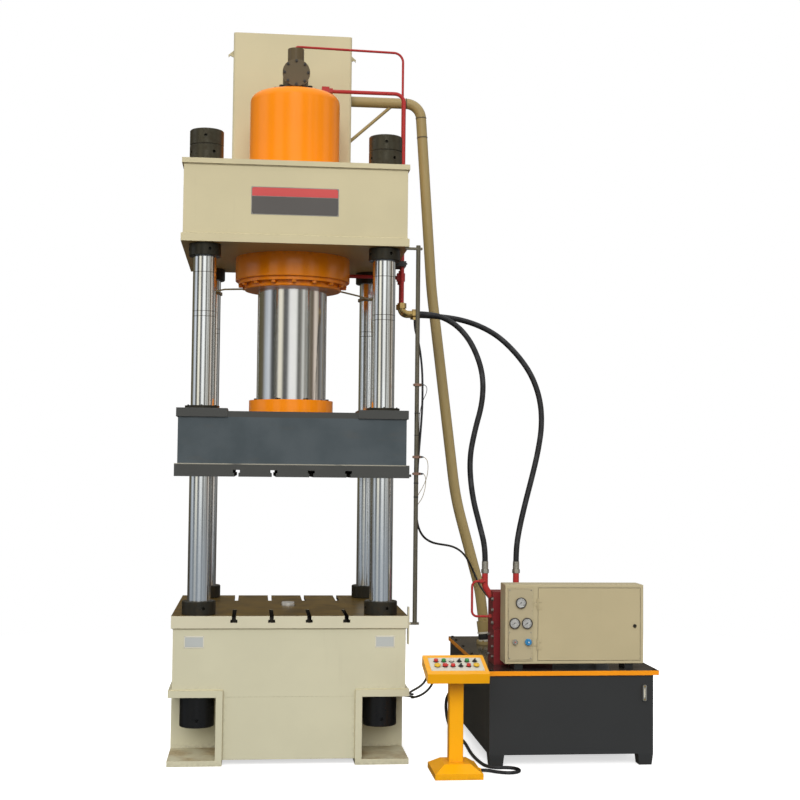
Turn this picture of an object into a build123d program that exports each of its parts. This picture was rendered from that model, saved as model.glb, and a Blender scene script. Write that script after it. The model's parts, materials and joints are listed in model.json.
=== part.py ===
from build123d import *
from math import cos, radians, sin, sqrt, tan
import os

# Four-column hydraulic press with its hydraulic power unit and the operator's pedestal.
# Millimetres, Z up. Every piece is modelled about the ram's axis at floor level, X to the
# operator's right and Y to the back. At the end the pieces move together, so that the origin
# is the middle of the whole machine's footprint.

# Clearances
fit_gap = 0.3
door_gap = 2.0
cut_margin = 5.0

# Worktable and base
table_width = 1260.0
table_depth = 1160.0
table_top = 787.0
table_thickness = 66.0
body_inset = 10.0
foot_thickness = 30.0
border_thickness = 36.0
border_proud = 20.0
niche_width = 232.0
niche_depth = 320.0
niche_roof = 359.0
ejector_hole_dia = 92.0
ejector_rod_dia = 75.0
ejector_rod_proud = 18.0
ejector_rod_chamfer = 3.0
ejector_barrel_dia = 220.0
ejector_flange_dia = 300.0
ejector_flange_thickness = 30.0
ejector_barrel_length = 430.0
ejector_bay_dia = 320.0
ejector_base_thickness = 40.0
ejector_rod_lift = 22.0

# T-slots of the worktable and the slide
slot_pitch = 200.0
slot_neck = 22.0
slot_head = 37.0
slot_head_height = 16.0
slot_depth = 36.0
table_slot_length = 330.0

# Columns and their nuts
column_dia = 125.0
column_inset_x = 140.0
column_inset_y = 97.5
column_tip = 4.0
nut_dia = 184.0
nut_chamfer = 4.0
top_nut_height = 84.5
bottom_nut_height = 164.0
table_collar_dia = 180.0
table_collar_height = 73.0
spot_face_depth = 2.0
head_collar_dia = 174.0
head_collar_height = 70.0
tommy_hole_dia = 18.0
tommy_hole_depth = 20.0

# Crosshead
head_bottom = 2786.0
head_height = 451.0
head_side_setback = 13.5
head_end_overhang = 10.0
head_inset = 10.0
head_bottom_flange = 43.0
head_top_flange = 28.0

# Main cylinder, ram and gland
barrel_dia = 523.0
barrel_bore = 450.0
barrel_top = 3750.0
barrel_cover = 115.0
barrel_crown = 50.0
ring_edge = 6.0
ring_dia = 662.0
ring_height = 136.0
ram_dia = 400.0
piston_height = 110.0
piston_top = 3100.0
gland_flange_dia = 628.0
gland_flange_thickness = 20.0
gland_hub_dia = 560.0
gland_hub_height = 50.0
gland_spigot = 45.0
gland_hub_chamfer = 4.0
gland_screws = 16
gland_screw_circle_dia = 598.0
screw_flats = 24.0
screw_head = 14.0
suction_port_dia = 150.0

# Prefill valve and tank
valve_flange_dia = 264.0
valve_flange_thickness = 28.0
valve_neck_dia = 150.0
valve_neck_height = 106.0
valve_body_dia = 114.0
valve_body_z = 3850.0
valve_body_front = -152.0
valve_body_back = 95.0
valve_cover_dia = 158.0
valve_cover_thickness = 18.0
valve_cover_screws = 8
valve_cover_circle_dia = 136.0
valve_cover_screw_dia = 14.0
valve_cover_screw_head = 8.0
valve_cap_dia = 96.0
valve_cap_rise = 28.0
valve_cap_top = 4028.0
valve_screws = 12
valve_screw_circle_dia = 236.0
tank_x = -10.0
prefill_side_gap = 38.0
prefill_front = 300.0
prefill_depth = 350.0
prefill_top = 4214.0
prefill_corner = 18.0
suction_pipe_dia = 110.0
lug_height = 45.0
lug_reach = 35.0
lug_thickness = 10.0
lug_z = 4110.0

# Slide
slide_bottom = 1526.0
slide_flange = 69.0
slide_body_top = 1877.0
slide_inset_x = 16.0
slide_inset_y = 10.0
corner_plate_width = 272.0
corner_plate_thickness = 47.0
corner_plate_rise = 15.0
corner_plate_proud = 10.0
bush_dia = 158.0
bush_flange_dia = 186.0
bush_flange_height = 14.0
ram_flange_dia = 484.0
ram_flange_height = 84.0
ram_groove_depth = 10.0
ram_groove_height = 30.0
ram_flange_split = 4.0
striker_reach = 11.0
striker_width = 25.0
striker_height = 14.0

# Oil pipes of the cylinder
pipe_dia = 22.0
pilot_pipe_dia = 14.0
pipe_stand = 20.5
union_flats = 34.0
union_length = 20.0
pilot_union_flats = 24.0
pilot_union_length = 8.0
pipe_spread = 40.0
pressure_pipe_z = 3778.0
port_block = 44.0
port_x = 174.0
pilot_pipe_z = 4046.0
ring_port_rise = 54.0
tee_size = 46.0
pipe_end_drop = 162.0
pipe_bend = 55.0
clamp_heights = (2905.0, 3105.0)
clamp_thickness = 30.0
clamp_cover = 18.0

# Drain pipes from the gland to clips on the rear columns
drain_pipe_dia = 10.0
drain_port_y = 60.0
drain_port_rise = 11.0
drain_left_rise = 20.0
drain_reach_x = 398.0
drain_reach_y = 250.0
drain_bend = 60.0
drain_clip_wall = 10.0
drain_clip_height = 16.0

# Hose fittings
elbow_drop = 60.0
elbow_bend = 38.0
elbow_dia = 34.0
elbow_flats = 46.0
elbow_nut = 30.0
hose_dia = 32.0
elbow_reach = 90.0
ferrule_height = 65.0
ferrule_nut = 21.0
ferrule_nut_margin = 4.0
ferrule_wall = 1.5

# Return pipe from the prefill tank to the oil tank
return_pipe_dia = 64.0
return_pipe_y = 431.0
return_pipe_z = 3850.0
return_flange_dia = 118.0
return_flange_thickness = 18.0
return_sleeve_dia = 84.0
return_sleeve_height = 70.0
return_pipe_route = ((788.0, 3850.0), (870.0, 2690.0), (1032.0, 1400.0), (1188.0, 840.0))
return_pipe_bends = (95.0, 3000.0, 1800.0, 900.0)
return_foot_inset = 170.0
return_flange_screws = 6
brace_dia = 20.0
brace_drop = 270.0
brace_reach = 262.0

# Limit-switch rod
rod_dia = 24.0
rod_stand = 39.0
rod_inset = 20.0
rod_drop = 49.0
rod_tip = 12.0
rod_bracket = 12.0
rod_bracket_depth = 40.0
rod_bracket_reach = 22.0
rod_plate_drop = 153.0
rod_plate_rise = 46.0
rod_plate_thickness = 8.0
switch_rises = (25.0, 116.0, 508.0)
switch_clamp = 44.0
switch_clamp_height = 14.0
switch_clamp_reach = 16.0
switch_tip_reach = 23.0
switch_dia = 10.0

# Oil tank of the power unit
oil_tank_left = 1060.0
oil_tank_width = 895.0
oil_tank_front = -680.0
oil_tank_depth = 1475.0
oil_tank_bottom = 60.0
oil_tank_height = 420.0
leg_width = 82.0
leg_taper = 6.0
lid_thickness = 25.0
lid_left = 10.0
lid_right = 29.0
lid_front = 10.0
level_inset = 51.0
level_z = 386.0
level_width = 22.0
level_height = 86.0
level_depth = 16.0
side_lug_thickness = 8.0
side_lug_inset = 40.0
side_lug_width = 40.0
side_lug_drop = 10.0
side_lug_height = 36.0

# Cabinet on the oil tank
cabinet_inset = 90.0
cabinet_width = 761.0
cabinet_setback = 40.0
cabinet_depth = 148.0
cabinet_foot_height = 31.0
cabinet_height = 424.0
cabinet_sheet = 3.0
cabinet_rim = 16.0
cabinet_foot_width = 46.0
cabinet_foot_inset = 54.0
panel_inset = 12.0
panel_width = 140.0
panel_lap = 6.0
panel_sheet = 3.0
door_inset = 178.0
door_edge = 17.0
hinge_dia = 9.0
hinge_pin_dia = 4.5
hinge_knuckle = 19.0
hinge_stand = 5.0
hinge_leaf = 20.0
hinge_leaf_thickness = 2.0
hinge_from_edge = 60.0
lock_inset = 32.0
lock_rise = 187.0
lock_dia = 18.0
lock_bore = 16.0
lock_head = 5.0
lock_tab = 4.0
lock_bar_width = 14.0
lock_bar_length = 38.0
gauge_dia = 58.0
gauge_offsets = ((72.0, 327.0), (38.0, 218.0), (106.0, 218.0))
gauge_rim = 4.0
gauge_bezel = 11.0
gauge_case_depth = 32.0
gauge_case_step = 3.0
knob_rise = 118.0
shutoff_knob_inset = 40.0
relief_knob_inset = 112.0
shutoff_knob_dia = 30.0
shutoff_knob_length = 12.0
shutoff_knob_grip = 8.0
relief_knob_dia = 36.0
relief_knob_length = 16.0
relief_knob_grip = 10.0
knob_chamfer = 2.0

# Motor, pump and valves behind the cabinet
motor_y = 200.0
motor_height = 180.0
motor_inset = 420.0
motor_length = 350.0
motor_dia = 320.0
motor_core_dia = 284.0
motor_fins = 32
motor_fin_thickness = 5.0
end_shield_dia = 300.0
end_shield_length = 18.0
cowl_dia = 330.0
cowl_length = 80.0
cowl_round = 20.0
grille_slots = 20
grille_inner_dia = 90.0
grille_outer_dia = 250.0
grille_slot_width = 9.0
grille_depth = 5.0
bell_dia = 250.0
bell_neck_dia = 196.0
bell_flange = 16.0
bell_length = 80.0
motor_foot_inset = 40.0
motor_foot_width = 60.0
motor_foot_spread = 280.0
motor_foot_thickness = 24.0
motor_foot_web = 220.0
terminal_inset = 120.0
terminal_length = 140.0
terminal_width = 120.0
terminal_height = 60.0
terminal_lid = 8.0
terminal_lip = 3.0
eye_dia = 44.0
eye_bar_dia = 10.0
eye_inset = 60.0
pump_dia = 170.0
pump_inlet_dia = 60.0
pump_length = 120.0
pump_flange_dia = 200.0
pump_flange_thickness = 18.0
pump_cover_dia = 136.0
pump_cover_thickness = 20.0
pump_cover_screws = 6
pump_cover_screw_dia = 12.0
valve_block_inset = 62.0
valve_block_gap = 42.0
valve_block_depth = 190.0
valve_block_width = 330.0
valve_block_height = 190.0
valve_tower_width = 208.0
valve_tower_setback = 40.0
valve_tower_height = 205.0
solenoid_dia = 50.0
solenoid_length = 70.0
solenoid_width = 54.0
solenoid_height = 70.0
solenoid_spacing = 58.0
solenoid_nut = 14.0
solenoid_nut_flats = 24.0
plug_size = 28.0
plug_height = 24.0
valve_cover_size = 64.0
valve_cover_depth = 20.0
valve_cover_insets = (60.0, 136.0)
valve_cover_bolt_dia = 10.0
valve_cover_bolt_head = 6.0
pump_line_dia = 22.0
pump_line_drop = 15.0

# Risers and control pipe of the power unit
riser_setback = 100.0
front_riser_reach = 35.0
back_riser_inset = 141.0
riser_rise = 100.0
riser_dia = 34.0
riser_bend = 60.0
front_riser_drop = 30.0
front_riser_climb = 55.0
control_pipe_dia = 13.0
control_pipe_reach = 75.0
control_pipe_head = 45.0
control_pipe_drop = 139.0
control_pipe_step = 18.0
control_pipe_bend = 30.0
control_union_flats = 22.0
control_union_length = 16.0

# Operator's pedestal
pedestal_x = 857.0
pedestal_y = -821.0
pedestal_width = 248.0
pedestal_depth = 312.0
pedestal_rim = 30.0
pedestal_crown = 66.0
post_size = 74.0
post_round = 6.0
pedestal_lip = 4.0
pedestal_crown_share = 0.55
desk_width = 320.0
desk_depth = 248.0
desk_thickness = 51.0
desk_left = 13.0
desk_forward = 79.0
desk_z = 572.5
desk_tilt = 14.7
desk_round = 6.0
control_pitch = 40.5
control_x = 3.0
top_row = 37.0
bottom_row = -25.0
button_dia = 22.0
mushroom_dia = 32.0
mushroom_crown = 4.0
button_crown = 1.5
stem_dia = 12.0
stem_length = 30.0
button_travel = 4.0
button_rise = 6.0
button_height = 9.0
selector_grip = 19.0
selector_grip_width = 8.0
selector_turn = 60.0
cable_gland_dia = 26.0
cable_gland_length = 14.0
pedestal_gland_length = 10.0
front_gland_y = 0.0
front_gland_z = 275.0
back_gland_y = 46.0
back_gland_z = 258.0
tank_gland_y = 200.0
tank_gland_z = 272.0
elbow_clip_reach = 75.0
elbow_clip_drop = 36.0
elbow_clip_size = 20.0

# Cords
console_cable_dia = 12.0
switch_cable_dia = 12.0
floor_cable_dia = 18.0

# Places that several pieces share
column_x = table_width / 2 - column_inset_x
column_y = table_depth / 2 - column_inset_y
prefill_width = 2 * column_x - nut_dia - 2 * prefill_side_gap
head_width = table_width - 2 * head_side_setback
head_depth = table_depth + 2 * head_end_overhang
pipe_x = head_width / 2 + pipe_stand
hose_start_x = pipe_x + elbow_reach
elbow_clip_x = pipe_x + elbow_clip_reach
rod_x = table_width / 2 + rod_stand
rod_y = rod_inset - table_depth / 2
body_x = table_width / 2 - body_inset
body_y = table_depth / 2 - body_inset
body_top = table_top - table_thickness
spot_face_z = table_top - spot_face_depth
niche_x = body_x - niche_width
niche_y = body_y - niche_depth
head_top = head_bottom + head_height
cylinder_bottom = head_bottom - ring_height
lower_port_z = cylinder_bottom + ring_port_rise
pipe_end_z = lower_port_z - pipe_end_drop
elbow_z = pipe_end_z - elbow_drop
elbow_clip_z = elbow_z - elbow_clip_drop
ram_bottom = slide_body_top
slide_top = slide_body_top + corner_plate_rise
bottom_nut_z = niche_roof - bottom_nut_height
column_bottom = bottom_nut_z - column_tip
column_top = head_top + 2 * top_nut_height + column_tip
lid_bottom = oil_tank_bottom + oil_tank_height
lid_top = lid_bottom + lid_thickness
front_y = -table_depth / 2
oil_tank_right = oil_tank_left + oil_tank_width
oil_tank_back = oil_tank_front + oil_tank_depth
cabinet_left = oil_tank_left + cabinet_inset
cabinet_front = oil_tank_front + cabinet_setback
cabinet_back = cabinet_front + cabinet_depth
cabinet_bottom = lid_top + cabinet_foot_height
cabinet_right = cabinet_left + cabinet_width
cabinet_top = cabinet_bottom + cabinet_height
panel_left = cabinet_left + panel_inset
panel_right = panel_left + panel_width
door_left = cabinet_left + door_inset
door_right = cabinet_right - cabinet_rim
opening_bottom = cabinet_bottom + cabinet_rim
opening_top = cabinet_top - cabinet_rim
hinge_x = door_left - door_gap / 2
hinge_y = cabinet_front - hinge_stand
knob_z = cabinet_bottom + knob_rise
motor_left = oil_tank_left + motor_inset
motor_z = lid_top + motor_height
valve_block_left = oil_tank_left + valve_block_inset
valve_block_front = cabinet_back + valve_block_gap
valve_block_back = valve_block_front + valve_block_depth
valve_tower_top = lid_top + valve_block_height + valve_tower_height
riser_y = valve_block_front + riser_setback
front_riser_x = valve_block_left - front_riser_reach
back_riser_x = valve_block_left + back_riser_inset
riser_top = valve_tower_top + riser_rise
hose_end_z = riser_top + ferrule_height
column_places = [(side * column_x, end * column_y) for side in (-1, 1) for end in (-1, 1)]
slot_places = [(index - 1.5) * slot_pitch for index in range(4)]
desk = Plane(
    origin=(pedestal_x - desk_left, pedestal_y - desk_forward, desk_z),
    x_dir=(1, 0, 0),
    z_dir=(0, -sin(radians(desk_tilt)), cos(radians(desk_tilt))),
)
footprint_left = -(body_x + border_proud)
footprint_right = oil_tank_right + lid_right
footprint_front = desk.origin.Y - desk_depth / 2 * cos(radians(desk_tilt))
footprint_back = oil_tank_back + lid_front
centre_x = (footprint_left + footprint_right) / 2
centre_y = (footprint_front + footprint_back) / 2

pieces = {}


def block(x, y, z, mode=Mode.ADD):
    """A rectangular block between two limits along each axis."""
    middle = ((x[0] + x[1]) / 2, (y[0] + y[1]) / 2, (z[0] + z[1]) / 2)
    with Locations(middle):
        Box(x[1] - x[0], y[1] - y[0], z[1] - z[0], mode=mode)


def bar(start, end, radius, mode=Mode.ADD):
    """A round bar from one place to another."""
    run = Vector(*end) - Vector(*start)
    with Locations(Plane(origin=start, z_dir=run)):
        Cylinder(radius, run.length, align=(Align.CENTER, Align.CENTER, Align.MIN), mode=mode)


def hexagon(start, end, flats, mode=Mode.ADD):
    """A hexagonal bar from one place to another."""
    run = Vector(*end) - Vector(*start)
    with BuildSketch(Plane(origin=start, z_dir=run)) as outline:
        RegularPolygon(flats / 2, 6, major_radius=False)
    extrude(outline.sketch, amount=run.length, mode=mode)


def four_corners(x, y, z):
    """The same block in all four corners, given where it stands on the right and at the back."""
    for side in (-1, 1):
        for end in (-1, 1):
            block(sorted((side * x[0], side * x[1])), sorted((end * y[0], end * y[1])), z)


def bent_pipe(points, radii, dia):
    """A pipe of straight runs joined by bends."""
    with BuildLine() as path:
        FilletPolyline(*points, radius=radii)
    with BuildSketch(Plane(origin=path.line @ 0, z_dir=path.line % 0)) as section:
        Circle(dia / 2)
    sweep(section.sketch, path=path.line)


def cord(name, points, dia):
    """A cord's tube: straight runs with a bend as large as its two runs allow at each point."""
    radii = []
    places = [Vector(*point) for point in points]
    for before, corner, after in zip(places, places[1:], places[2:]):
        turn = (corner - before).get_angle(after - corner)
        shorter = min((corner - before).length, (after - corner).length)
        radii.append(0.45 * shorter / tan(radians(turn / 2)))
    with BuildPart() as tube:
        with BuildLine() as path:
            FilletPolyline(*points, radius=radii)
        with BuildSketch(Plane(origin=path.line @ 0, z_dir=path.line % 0)):
            Circle(dia / 2)
        sweep()
    length = sum(edge.length for edge in path.edges())
    print(name, "length", round(length), "bend radii", [round(radius) for radius in radii])
    return tube


# Base: a welded box with an open niche at each corner for the column nut. Its upper box, the core
# between the niches, the two side arms and the two foot plates are solids of their own that are
# welded face to face.
outer_x = body_x + border_proud
outer_y = body_y + border_proud
inner_x = niche_x - border_thickness
inner_y = niche_y - border_thickness
with BuildPart() as base:
    block((-body_x, body_x), (-body_y, body_y), (niche_roof, body_top))
    four_corners((inner_x, outer_x), (inner_y, outer_y), (niche_roof, niche_roof + border_thickness))
    with Locations(*[(x, y, niche_roof) for x, y in column_places]):
        Cylinder(
            column_dia / 2 + fit_gap,
            body_top - niche_roof,
            align=(Align.CENTER, Align.CENTER, Align.MIN),
            mode=Mode.SUBTRACT,
        )
    bar((0, 0, niche_roof), (0, 0, body_top), ejector_bay_dia / 2, mode=Mode.SUBTRACT)
with BuildPart() as base_core:
    block((-niche_x, niche_x), (-body_y, body_y), (foot_thickness, niche_roof))
    four_corners((inner_x, niche_x), (body_y, outer_y), (foot_thickness, niche_roof))
    bar((0, 0, foot_thickness), (0, 0, niche_roof), ejector_bay_dia / 2, mode=Mode.SUBTRACT)
with BuildPart() as base_arms:
    for side in (-1, 1):
        block(sorted((side * niche_x, side * body_x)), (-niche_y, niche_y), (foot_thickness, niche_roof))
    four_corners((body_x, outer_x), (inner_y, niche_y), (foot_thickness, niche_roof))
    for y, z in ((front_gland_y, front_gland_z), (back_gland_y, back_gland_z)):
        bar((body_x, y, z), (body_x + cable_gland_length, y, z), cable_gland_dia / 2)
with BuildPart() as foot_plates:
    for side in (-1, 1):
        block(sorted((side * inner_x, side * outer_x)), (-outer_y, outer_y), (0, foot_thickness))
welded = (base, base_core, base_arms, foot_plates)
base.part = Part([solid for piece in welded for solid in piece.part.solids()])
pieces["base"] = base


def cut_slot(plane, x, length):
    """One T-slot, open in the plane's own surface and at the plane's edge."""
    with BuildSketch(plane) as outline:
        with Locations((x, -slot_depth / 2)):
            Rectangle(slot_neck, slot_depth)
        with Locations((x, -slot_depth + slot_head_height / 2)):
            Rectangle(slot_head, slot_head_height)
    extrude(outline.sketch, amount=-length, mode=Mode.SUBTRACT)


# Worktable: one ground plate with short T-slots from its front and its back edge, and a spot
# face under each column's collar.
with BuildPart() as worktable:
    block(
        (-table_width / 2, table_width / 2),
        (-table_depth / 2, table_depth / 2),
        (body_top, table_top),
    )
    front_edge = Plane(origin=(0, front_y, table_top), x_dir=(1, 0, 0), z_dir=(0, -1, 0))
    back_edge = Plane(origin=(0, -front_y, table_top), x_dir=(-1, 0, 0), z_dir=(0, 1, 0))
    for x in slot_places:
        cut_slot(front_edge, x, table_slot_length)
        cut_slot(back_edge, x, table_slot_length)
    with Locations(*[(x, y, body_top) for x, y in column_places]):
        Cylinder(
            column_dia / 2 + fit_gap,
            table_thickness,
            align=(Align.CENTER, Align.CENTER, Align.MIN),
            mode=Mode.SUBTRACT,
        )
    with Locations(*[(x, y, spot_face_z) for x, y in column_places]):
        Cylinder(
            table_collar_dia / 2 + fit_gap,
            spot_face_depth,
            align=(Align.CENTER, Align.CENTER, Align.MIN),
            mode=Mode.SUBTRACT,
        )
    bar((0, 0, body_top), (0, 0, table_top), ejector_hole_dia / 2, mode=Mode.SUBTRACT)
pieces["worktable"] = worktable

# Columns: four ground and polished tie bars from under the base to above the crosshead.
with BuildPart() as columns:
    with BuildSketch(Plane.XY.offset(column_bottom)):
        with Locations(*column_places):
            Circle(column_dia / 2)
    extrude(amount=column_top - column_bottom)
    ends = columns.edges().filter_by(GeomType.CIRCLE)
    chamfer(ends, length=column_tip / 2)
pieces["columns"] = columns


def column_nut(place, z, height, dia, holes_z, turn=0.0):
    """A round nut on a column, with four tommy-bar holes in its rim."""
    x, y = place
    with BuildPart() as nut:
        with BuildSketch(Plane(origin=(x, y, z))):
            Circle(dia / 2)
            Circle(column_dia / 2 + fit_gap, mode=Mode.SUBTRACT)
        extrude(amount=height)
        rims = nut.edges().filter_by(GeomType.CIRCLE).sort_by(SortBy.RADIUS)[-2:]
        chamfer(rims, length=nut_chamfer)
        for index in range(4):
            spin = radians(turn + 90 * index)
            ends = [
                (x + cos(spin) * reach, y + sin(spin) * reach, holes_z)
                for reach in (dia / 2 - tommy_hole_depth, dia / 2 + cut_margin)
            ]
            bar(*ends, tommy_hole_dia / 2, mode=Mode.SUBTRACT)
    return nut


# Outer nuts: a nut and a lock nut above the crosshead, one long nut in each niche below.
with BuildPart() as outer_nuts:
    for place in column_places:
        lower = column_nut(place, head_top, top_nut_height, nut_dia, head_top + top_nut_height / 2, -62)
        upper = column_nut(
            place, head_top + top_nut_height, top_nut_height, nut_dia, head_top + 1.5 * top_nut_height, -92
        )
        bottom = column_nut(
            place, bottom_nut_z, bottom_nut_height, nut_dia, bottom_nut_z + bottom_nut_height / 4, -88
        )
        add(lower.part)
        add(upper.part)
        add(bottom.part)
pieces["outer_nuts"] = outer_nuts

# Inner nuts: collars on the worktable and under the crosshead.
with BuildPart() as inner_nuts:
    for place in column_places:
        on_table = column_nut(
            place,
            spot_face_z,
            spot_face_depth + table_collar_height,
            table_collar_dia,
            table_top + table_collar_height / 2,
            -72,
        )
        under_head = column_nut(
            place,
            head_bottom - head_collar_height,
            head_collar_height,
            head_collar_dia,
            head_bottom - head_collar_height / 2,
            -70,
        )
        add(on_table.part)
        add(under_head.part)
pieces["inner_nuts"] = inner_nuts

# Crosshead: a welded box between two flanges, bored for the columns and the cylinder.
with BuildPart() as crosshead:
    half_x = head_width / 2
    half_y = head_depth / 2
    block((-half_x, half_x), (-half_y, half_y), (head_bottom, head_bottom + head_bottom_flange))
    block(
        (head_inset - half_x, half_x - head_inset),
        (head_inset - half_y, half_y - head_inset),
        (head_bottom, head_top),
    )
    block((-half_x, half_x), (-half_y, half_y), (head_top - head_top_flange, head_top))
    with Locations(*[(x, y, head_bottom) for x, y in column_places]):
        Cylinder(
            column_dia / 2 + fit_gap,
            head_height,
            align=(Align.CENTER, Align.CENTER, Align.MIN),
            mode=Mode.SUBTRACT,
        )
    bar((0, 0, head_bottom), (0, 0, head_top), barrel_dia / 2 + fit_gap, mode=Mode.SUBTRACT)
pieces["crosshead"] = crosshead

# Cylinder: a barrel with a ring that bears under the crosshead and a closed, ported top.
with BuildPart() as cylinder:
    with BuildSketch(Plane.XZ):
        with BuildLine():
            Polyline(
                (barrel_bore / 2, cylinder_bottom),
                (ring_dia / 2, cylinder_bottom),
                (ring_dia / 2, head_bottom),
                (barrel_dia / 2, head_bottom),
                (barrel_dia / 2, barrel_top),
                (suction_port_dia / 2, barrel_top),
                (suction_port_dia / 2, barrel_top - barrel_cover),
                (barrel_bore / 2, barrel_top - barrel_cover),
                close=True,
            )
        make_face()
    revolve(axis=Axis.Z)
    top_rim = cylinder.edges().filter_by(GeomType.CIRCLE).group_by(Axis.Z)[-1].sort_by(SortBy.RADIUS)[-1]
    fillet(top_rim, radius=barrel_crown)
    ring_rim = cylinder.edges().filter_by(GeomType.CIRCLE).group_by(Axis.Z)[0].sort_by(SortBy.RADIUS)[-1]
    fillet(ring_rim, radius=ring_edge)
pieces["cylinder"] = cylinder

# Gland: a flange under the ring, a hub round the ram and a spigot in the barrel's bore.
with BuildPart() as gland:
    gland_flange_bottom = cylinder_bottom - gland_flange_thickness
    gland_bottom = cylinder_bottom - gland_hub_height
    with BuildSketch(Plane.XZ):
        with BuildLine():
            Polyline(
                (ram_dia / 2 + fit_gap, gland_bottom),
                (gland_hub_dia / 2, gland_bottom),
                (gland_hub_dia / 2, gland_flange_bottom),
                (gland_flange_dia / 2, gland_flange_bottom),
                (gland_flange_dia / 2, cylinder_bottom),
                (barrel_bore / 2 - fit_gap, cylinder_bottom),
                (barrel_bore / 2 - fit_gap, cylinder_bottom + gland_spigot),
                (ram_dia / 2 + fit_gap, cylinder_bottom + gland_spigot),
                close=True,
            )
        make_face()
    revolve(axis=Axis.Z)
    hub_rim = gland.edges().filter_by(GeomType.CIRCLE).group_by(Axis.Z)[0].sort_by(SortBy.RADIUS)[-1]
    chamfer(hub_rim, length=gland_hub_chamfer)
pieces["gland"] = gland

# Screws: hexagon heads under the gland's flange and on the prefill valve's flange, and round
# heads on the valve's front cover.
valve_flange_top = barrel_top + valve_flange_thickness
valve_neck_top = valve_flange_top + valve_neck_height
with BuildPart() as screws:
    with BuildSketch(Plane.XY.offset(gland_flange_bottom)):
        with PolarLocations(gland_screw_circle_dia / 2, gland_screws):
            RegularPolygon(screw_flats / 2, 6, major_radius=False)
    extrude(amount=-screw_head)
    with BuildSketch(Plane.XY.offset(valve_flange_top)):
        with PolarLocations(valve_screw_circle_dia / 2, valve_screws, start_angle=180 / valve_screws):
            RegularPolygon(screw_flats / 2, 6, major_radius=False)
    extrude(amount=screw_head)
    with BuildSketch(Plane(origin=(0, valve_body_front, valve_body_z), z_dir=(0, -1, 0))):
        with PolarLocations(valve_cover_circle_dia / 2, valve_cover_screws):
            Circle(valve_cover_screw_dia / 2)
    extrude(amount=valve_cover_screw_head)
pieces["screws"] = screws

# Prefill valve: a flanged neck on the cylinder, a cross body and a cap.
with BuildPart() as prefill_valve:
    with BuildSketch(Plane.XZ):
        with BuildLine():
            Polyline(
                (0, barrel_top),
                (valve_flange_dia / 2, barrel_top),
                (valve_flange_dia / 2, valve_flange_top),
                (valve_neck_dia / 2, valve_flange_top),
                (valve_neck_dia / 2, valve_neck_top),
                (valve_cap_dia / 2, valve_neck_top + valve_cap_rise),
                (valve_cap_dia / 2, valve_cap_top),
                (0, valve_cap_top),
                close=True,
            )
        make_face()
    revolve(axis=Axis.Z)
    bar((0, valve_body_front, valve_body_z), (0, valve_body_back, valve_body_z), valve_body_dia / 2)
    cover_back = valve_body_front + valve_cover_thickness
    bar((0, valve_body_front, valve_body_z), (0, cover_back, valve_body_z), valve_cover_dia / 2)
pieces["prefill_valve"] = prefill_valve

# Prefill tank: a welded box on the crosshead behind the cylinder, with a stub to the valve.
with BuildPart() as prefill_tank:
    prefill_left = tank_x - prefill_width / 2
    prefill_right = tank_x + prefill_width / 2
    block(
        (prefill_left, prefill_right),
        (prefill_front, prefill_front + prefill_depth),
        (head_top, prefill_top),
    )
    fillet(prefill_tank.edges().filter_by(Axis.Z), radius=prefill_corner)
    stub_end = prefill_front + cut_margin
    bar((0, valve_body_back, valve_body_z), (0, stub_end, valve_body_z), suction_pipe_dia / 2)
    lug_y = prefill_front + prefill_depth / 2
    for side, x in ((-1, prefill_left), (1, prefill_right)):
        with BuildSketch(Plane.XZ.offset(-lug_y)):
            with BuildLine():
                Polyline(
                    (x, lug_z),
                    (x, lug_z + lug_height),
                    (x + side * lug_reach, lug_z + lug_height / 3),
                    (x + side * lug_reach, lug_z),
                    (x + side * lug_reach * 0.7, lug_z + lug_height / 4),
                    close=True,
                )
            make_face()
        extrude(amount=lug_thickness / 2, both=True)
pieces["prefill_tank"] = prefill_tank

# Return pipe: from the prefill tank out to the right and down to a flange on the oil tank.
return_foot = (oil_tank_left + return_foot_inset, return_pipe_y, lid_top)
last_bend_x, last_bend_z = return_pipe_route[-1]
lean = (last_bend_x - return_foot[0]) / (last_bend_z - lid_top)


def on_last_run(rise):
    """A place on the return pipe's last run, this far above the tank's lid."""
    return (return_foot[0] + lean * rise, return_pipe_y, lid_top + rise)


with BuildPart() as return_pipe:
    bent_pipe(
        [
            (prefill_right, return_pipe_y, return_pipe_z),
            *[(x, return_pipe_y, z) for x, z in return_pipe_route],
            return_foot,
        ],
        list(return_pipe_bends),
        return_pipe_dia,
    )
    block(
        (return_foot[0] - return_flange_dia, return_foot[0] + return_flange_dia),
        (return_pipe_y - return_flange_dia, return_pipe_y + return_flange_dia),
        (lid_top - return_flange_dia, lid_top),
        mode=Mode.SUBTRACT,
    )
    flange_top = (return_foot[0], return_pipe_y, lid_top + return_flange_thickness)
    bar(return_foot, flange_top, return_flange_dia / 2)
    with BuildSketch(Plane(origin=flange_top)):
        with PolarLocations((return_flange_dia + return_sleeve_dia) / 4, return_flange_screws):
            RegularPolygon(valve_cover_screw_dia / 2, 6)
    extrude(amount=valve_cover_screw_head)
    bar(on_last_run(return_sleeve_height), on_last_run(2 * return_sleeve_height), return_sleeve_dia / 2)
    brace_foot = (prefill_right - brace_dia, return_pipe_y, return_pipe_z - brace_drop)
    brace_head = (prefill_right + brace_reach, return_pipe_y, return_pipe_z - return_pipe_dia / 4)
    bar(brace_foot, brace_head, brace_dia / 2)
    block(
        (prefill_right - 3 * brace_dia, prefill_right),
        (return_pipe_y - brace_dia, return_pipe_y + brace_dia),
        (brace_foot[2] - 3 * brace_dia, brace_foot[2] + 3 * brace_dia),
        mode=Mode.SUBTRACT,
    )
pieces["return_pipe"] = return_pipe

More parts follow.
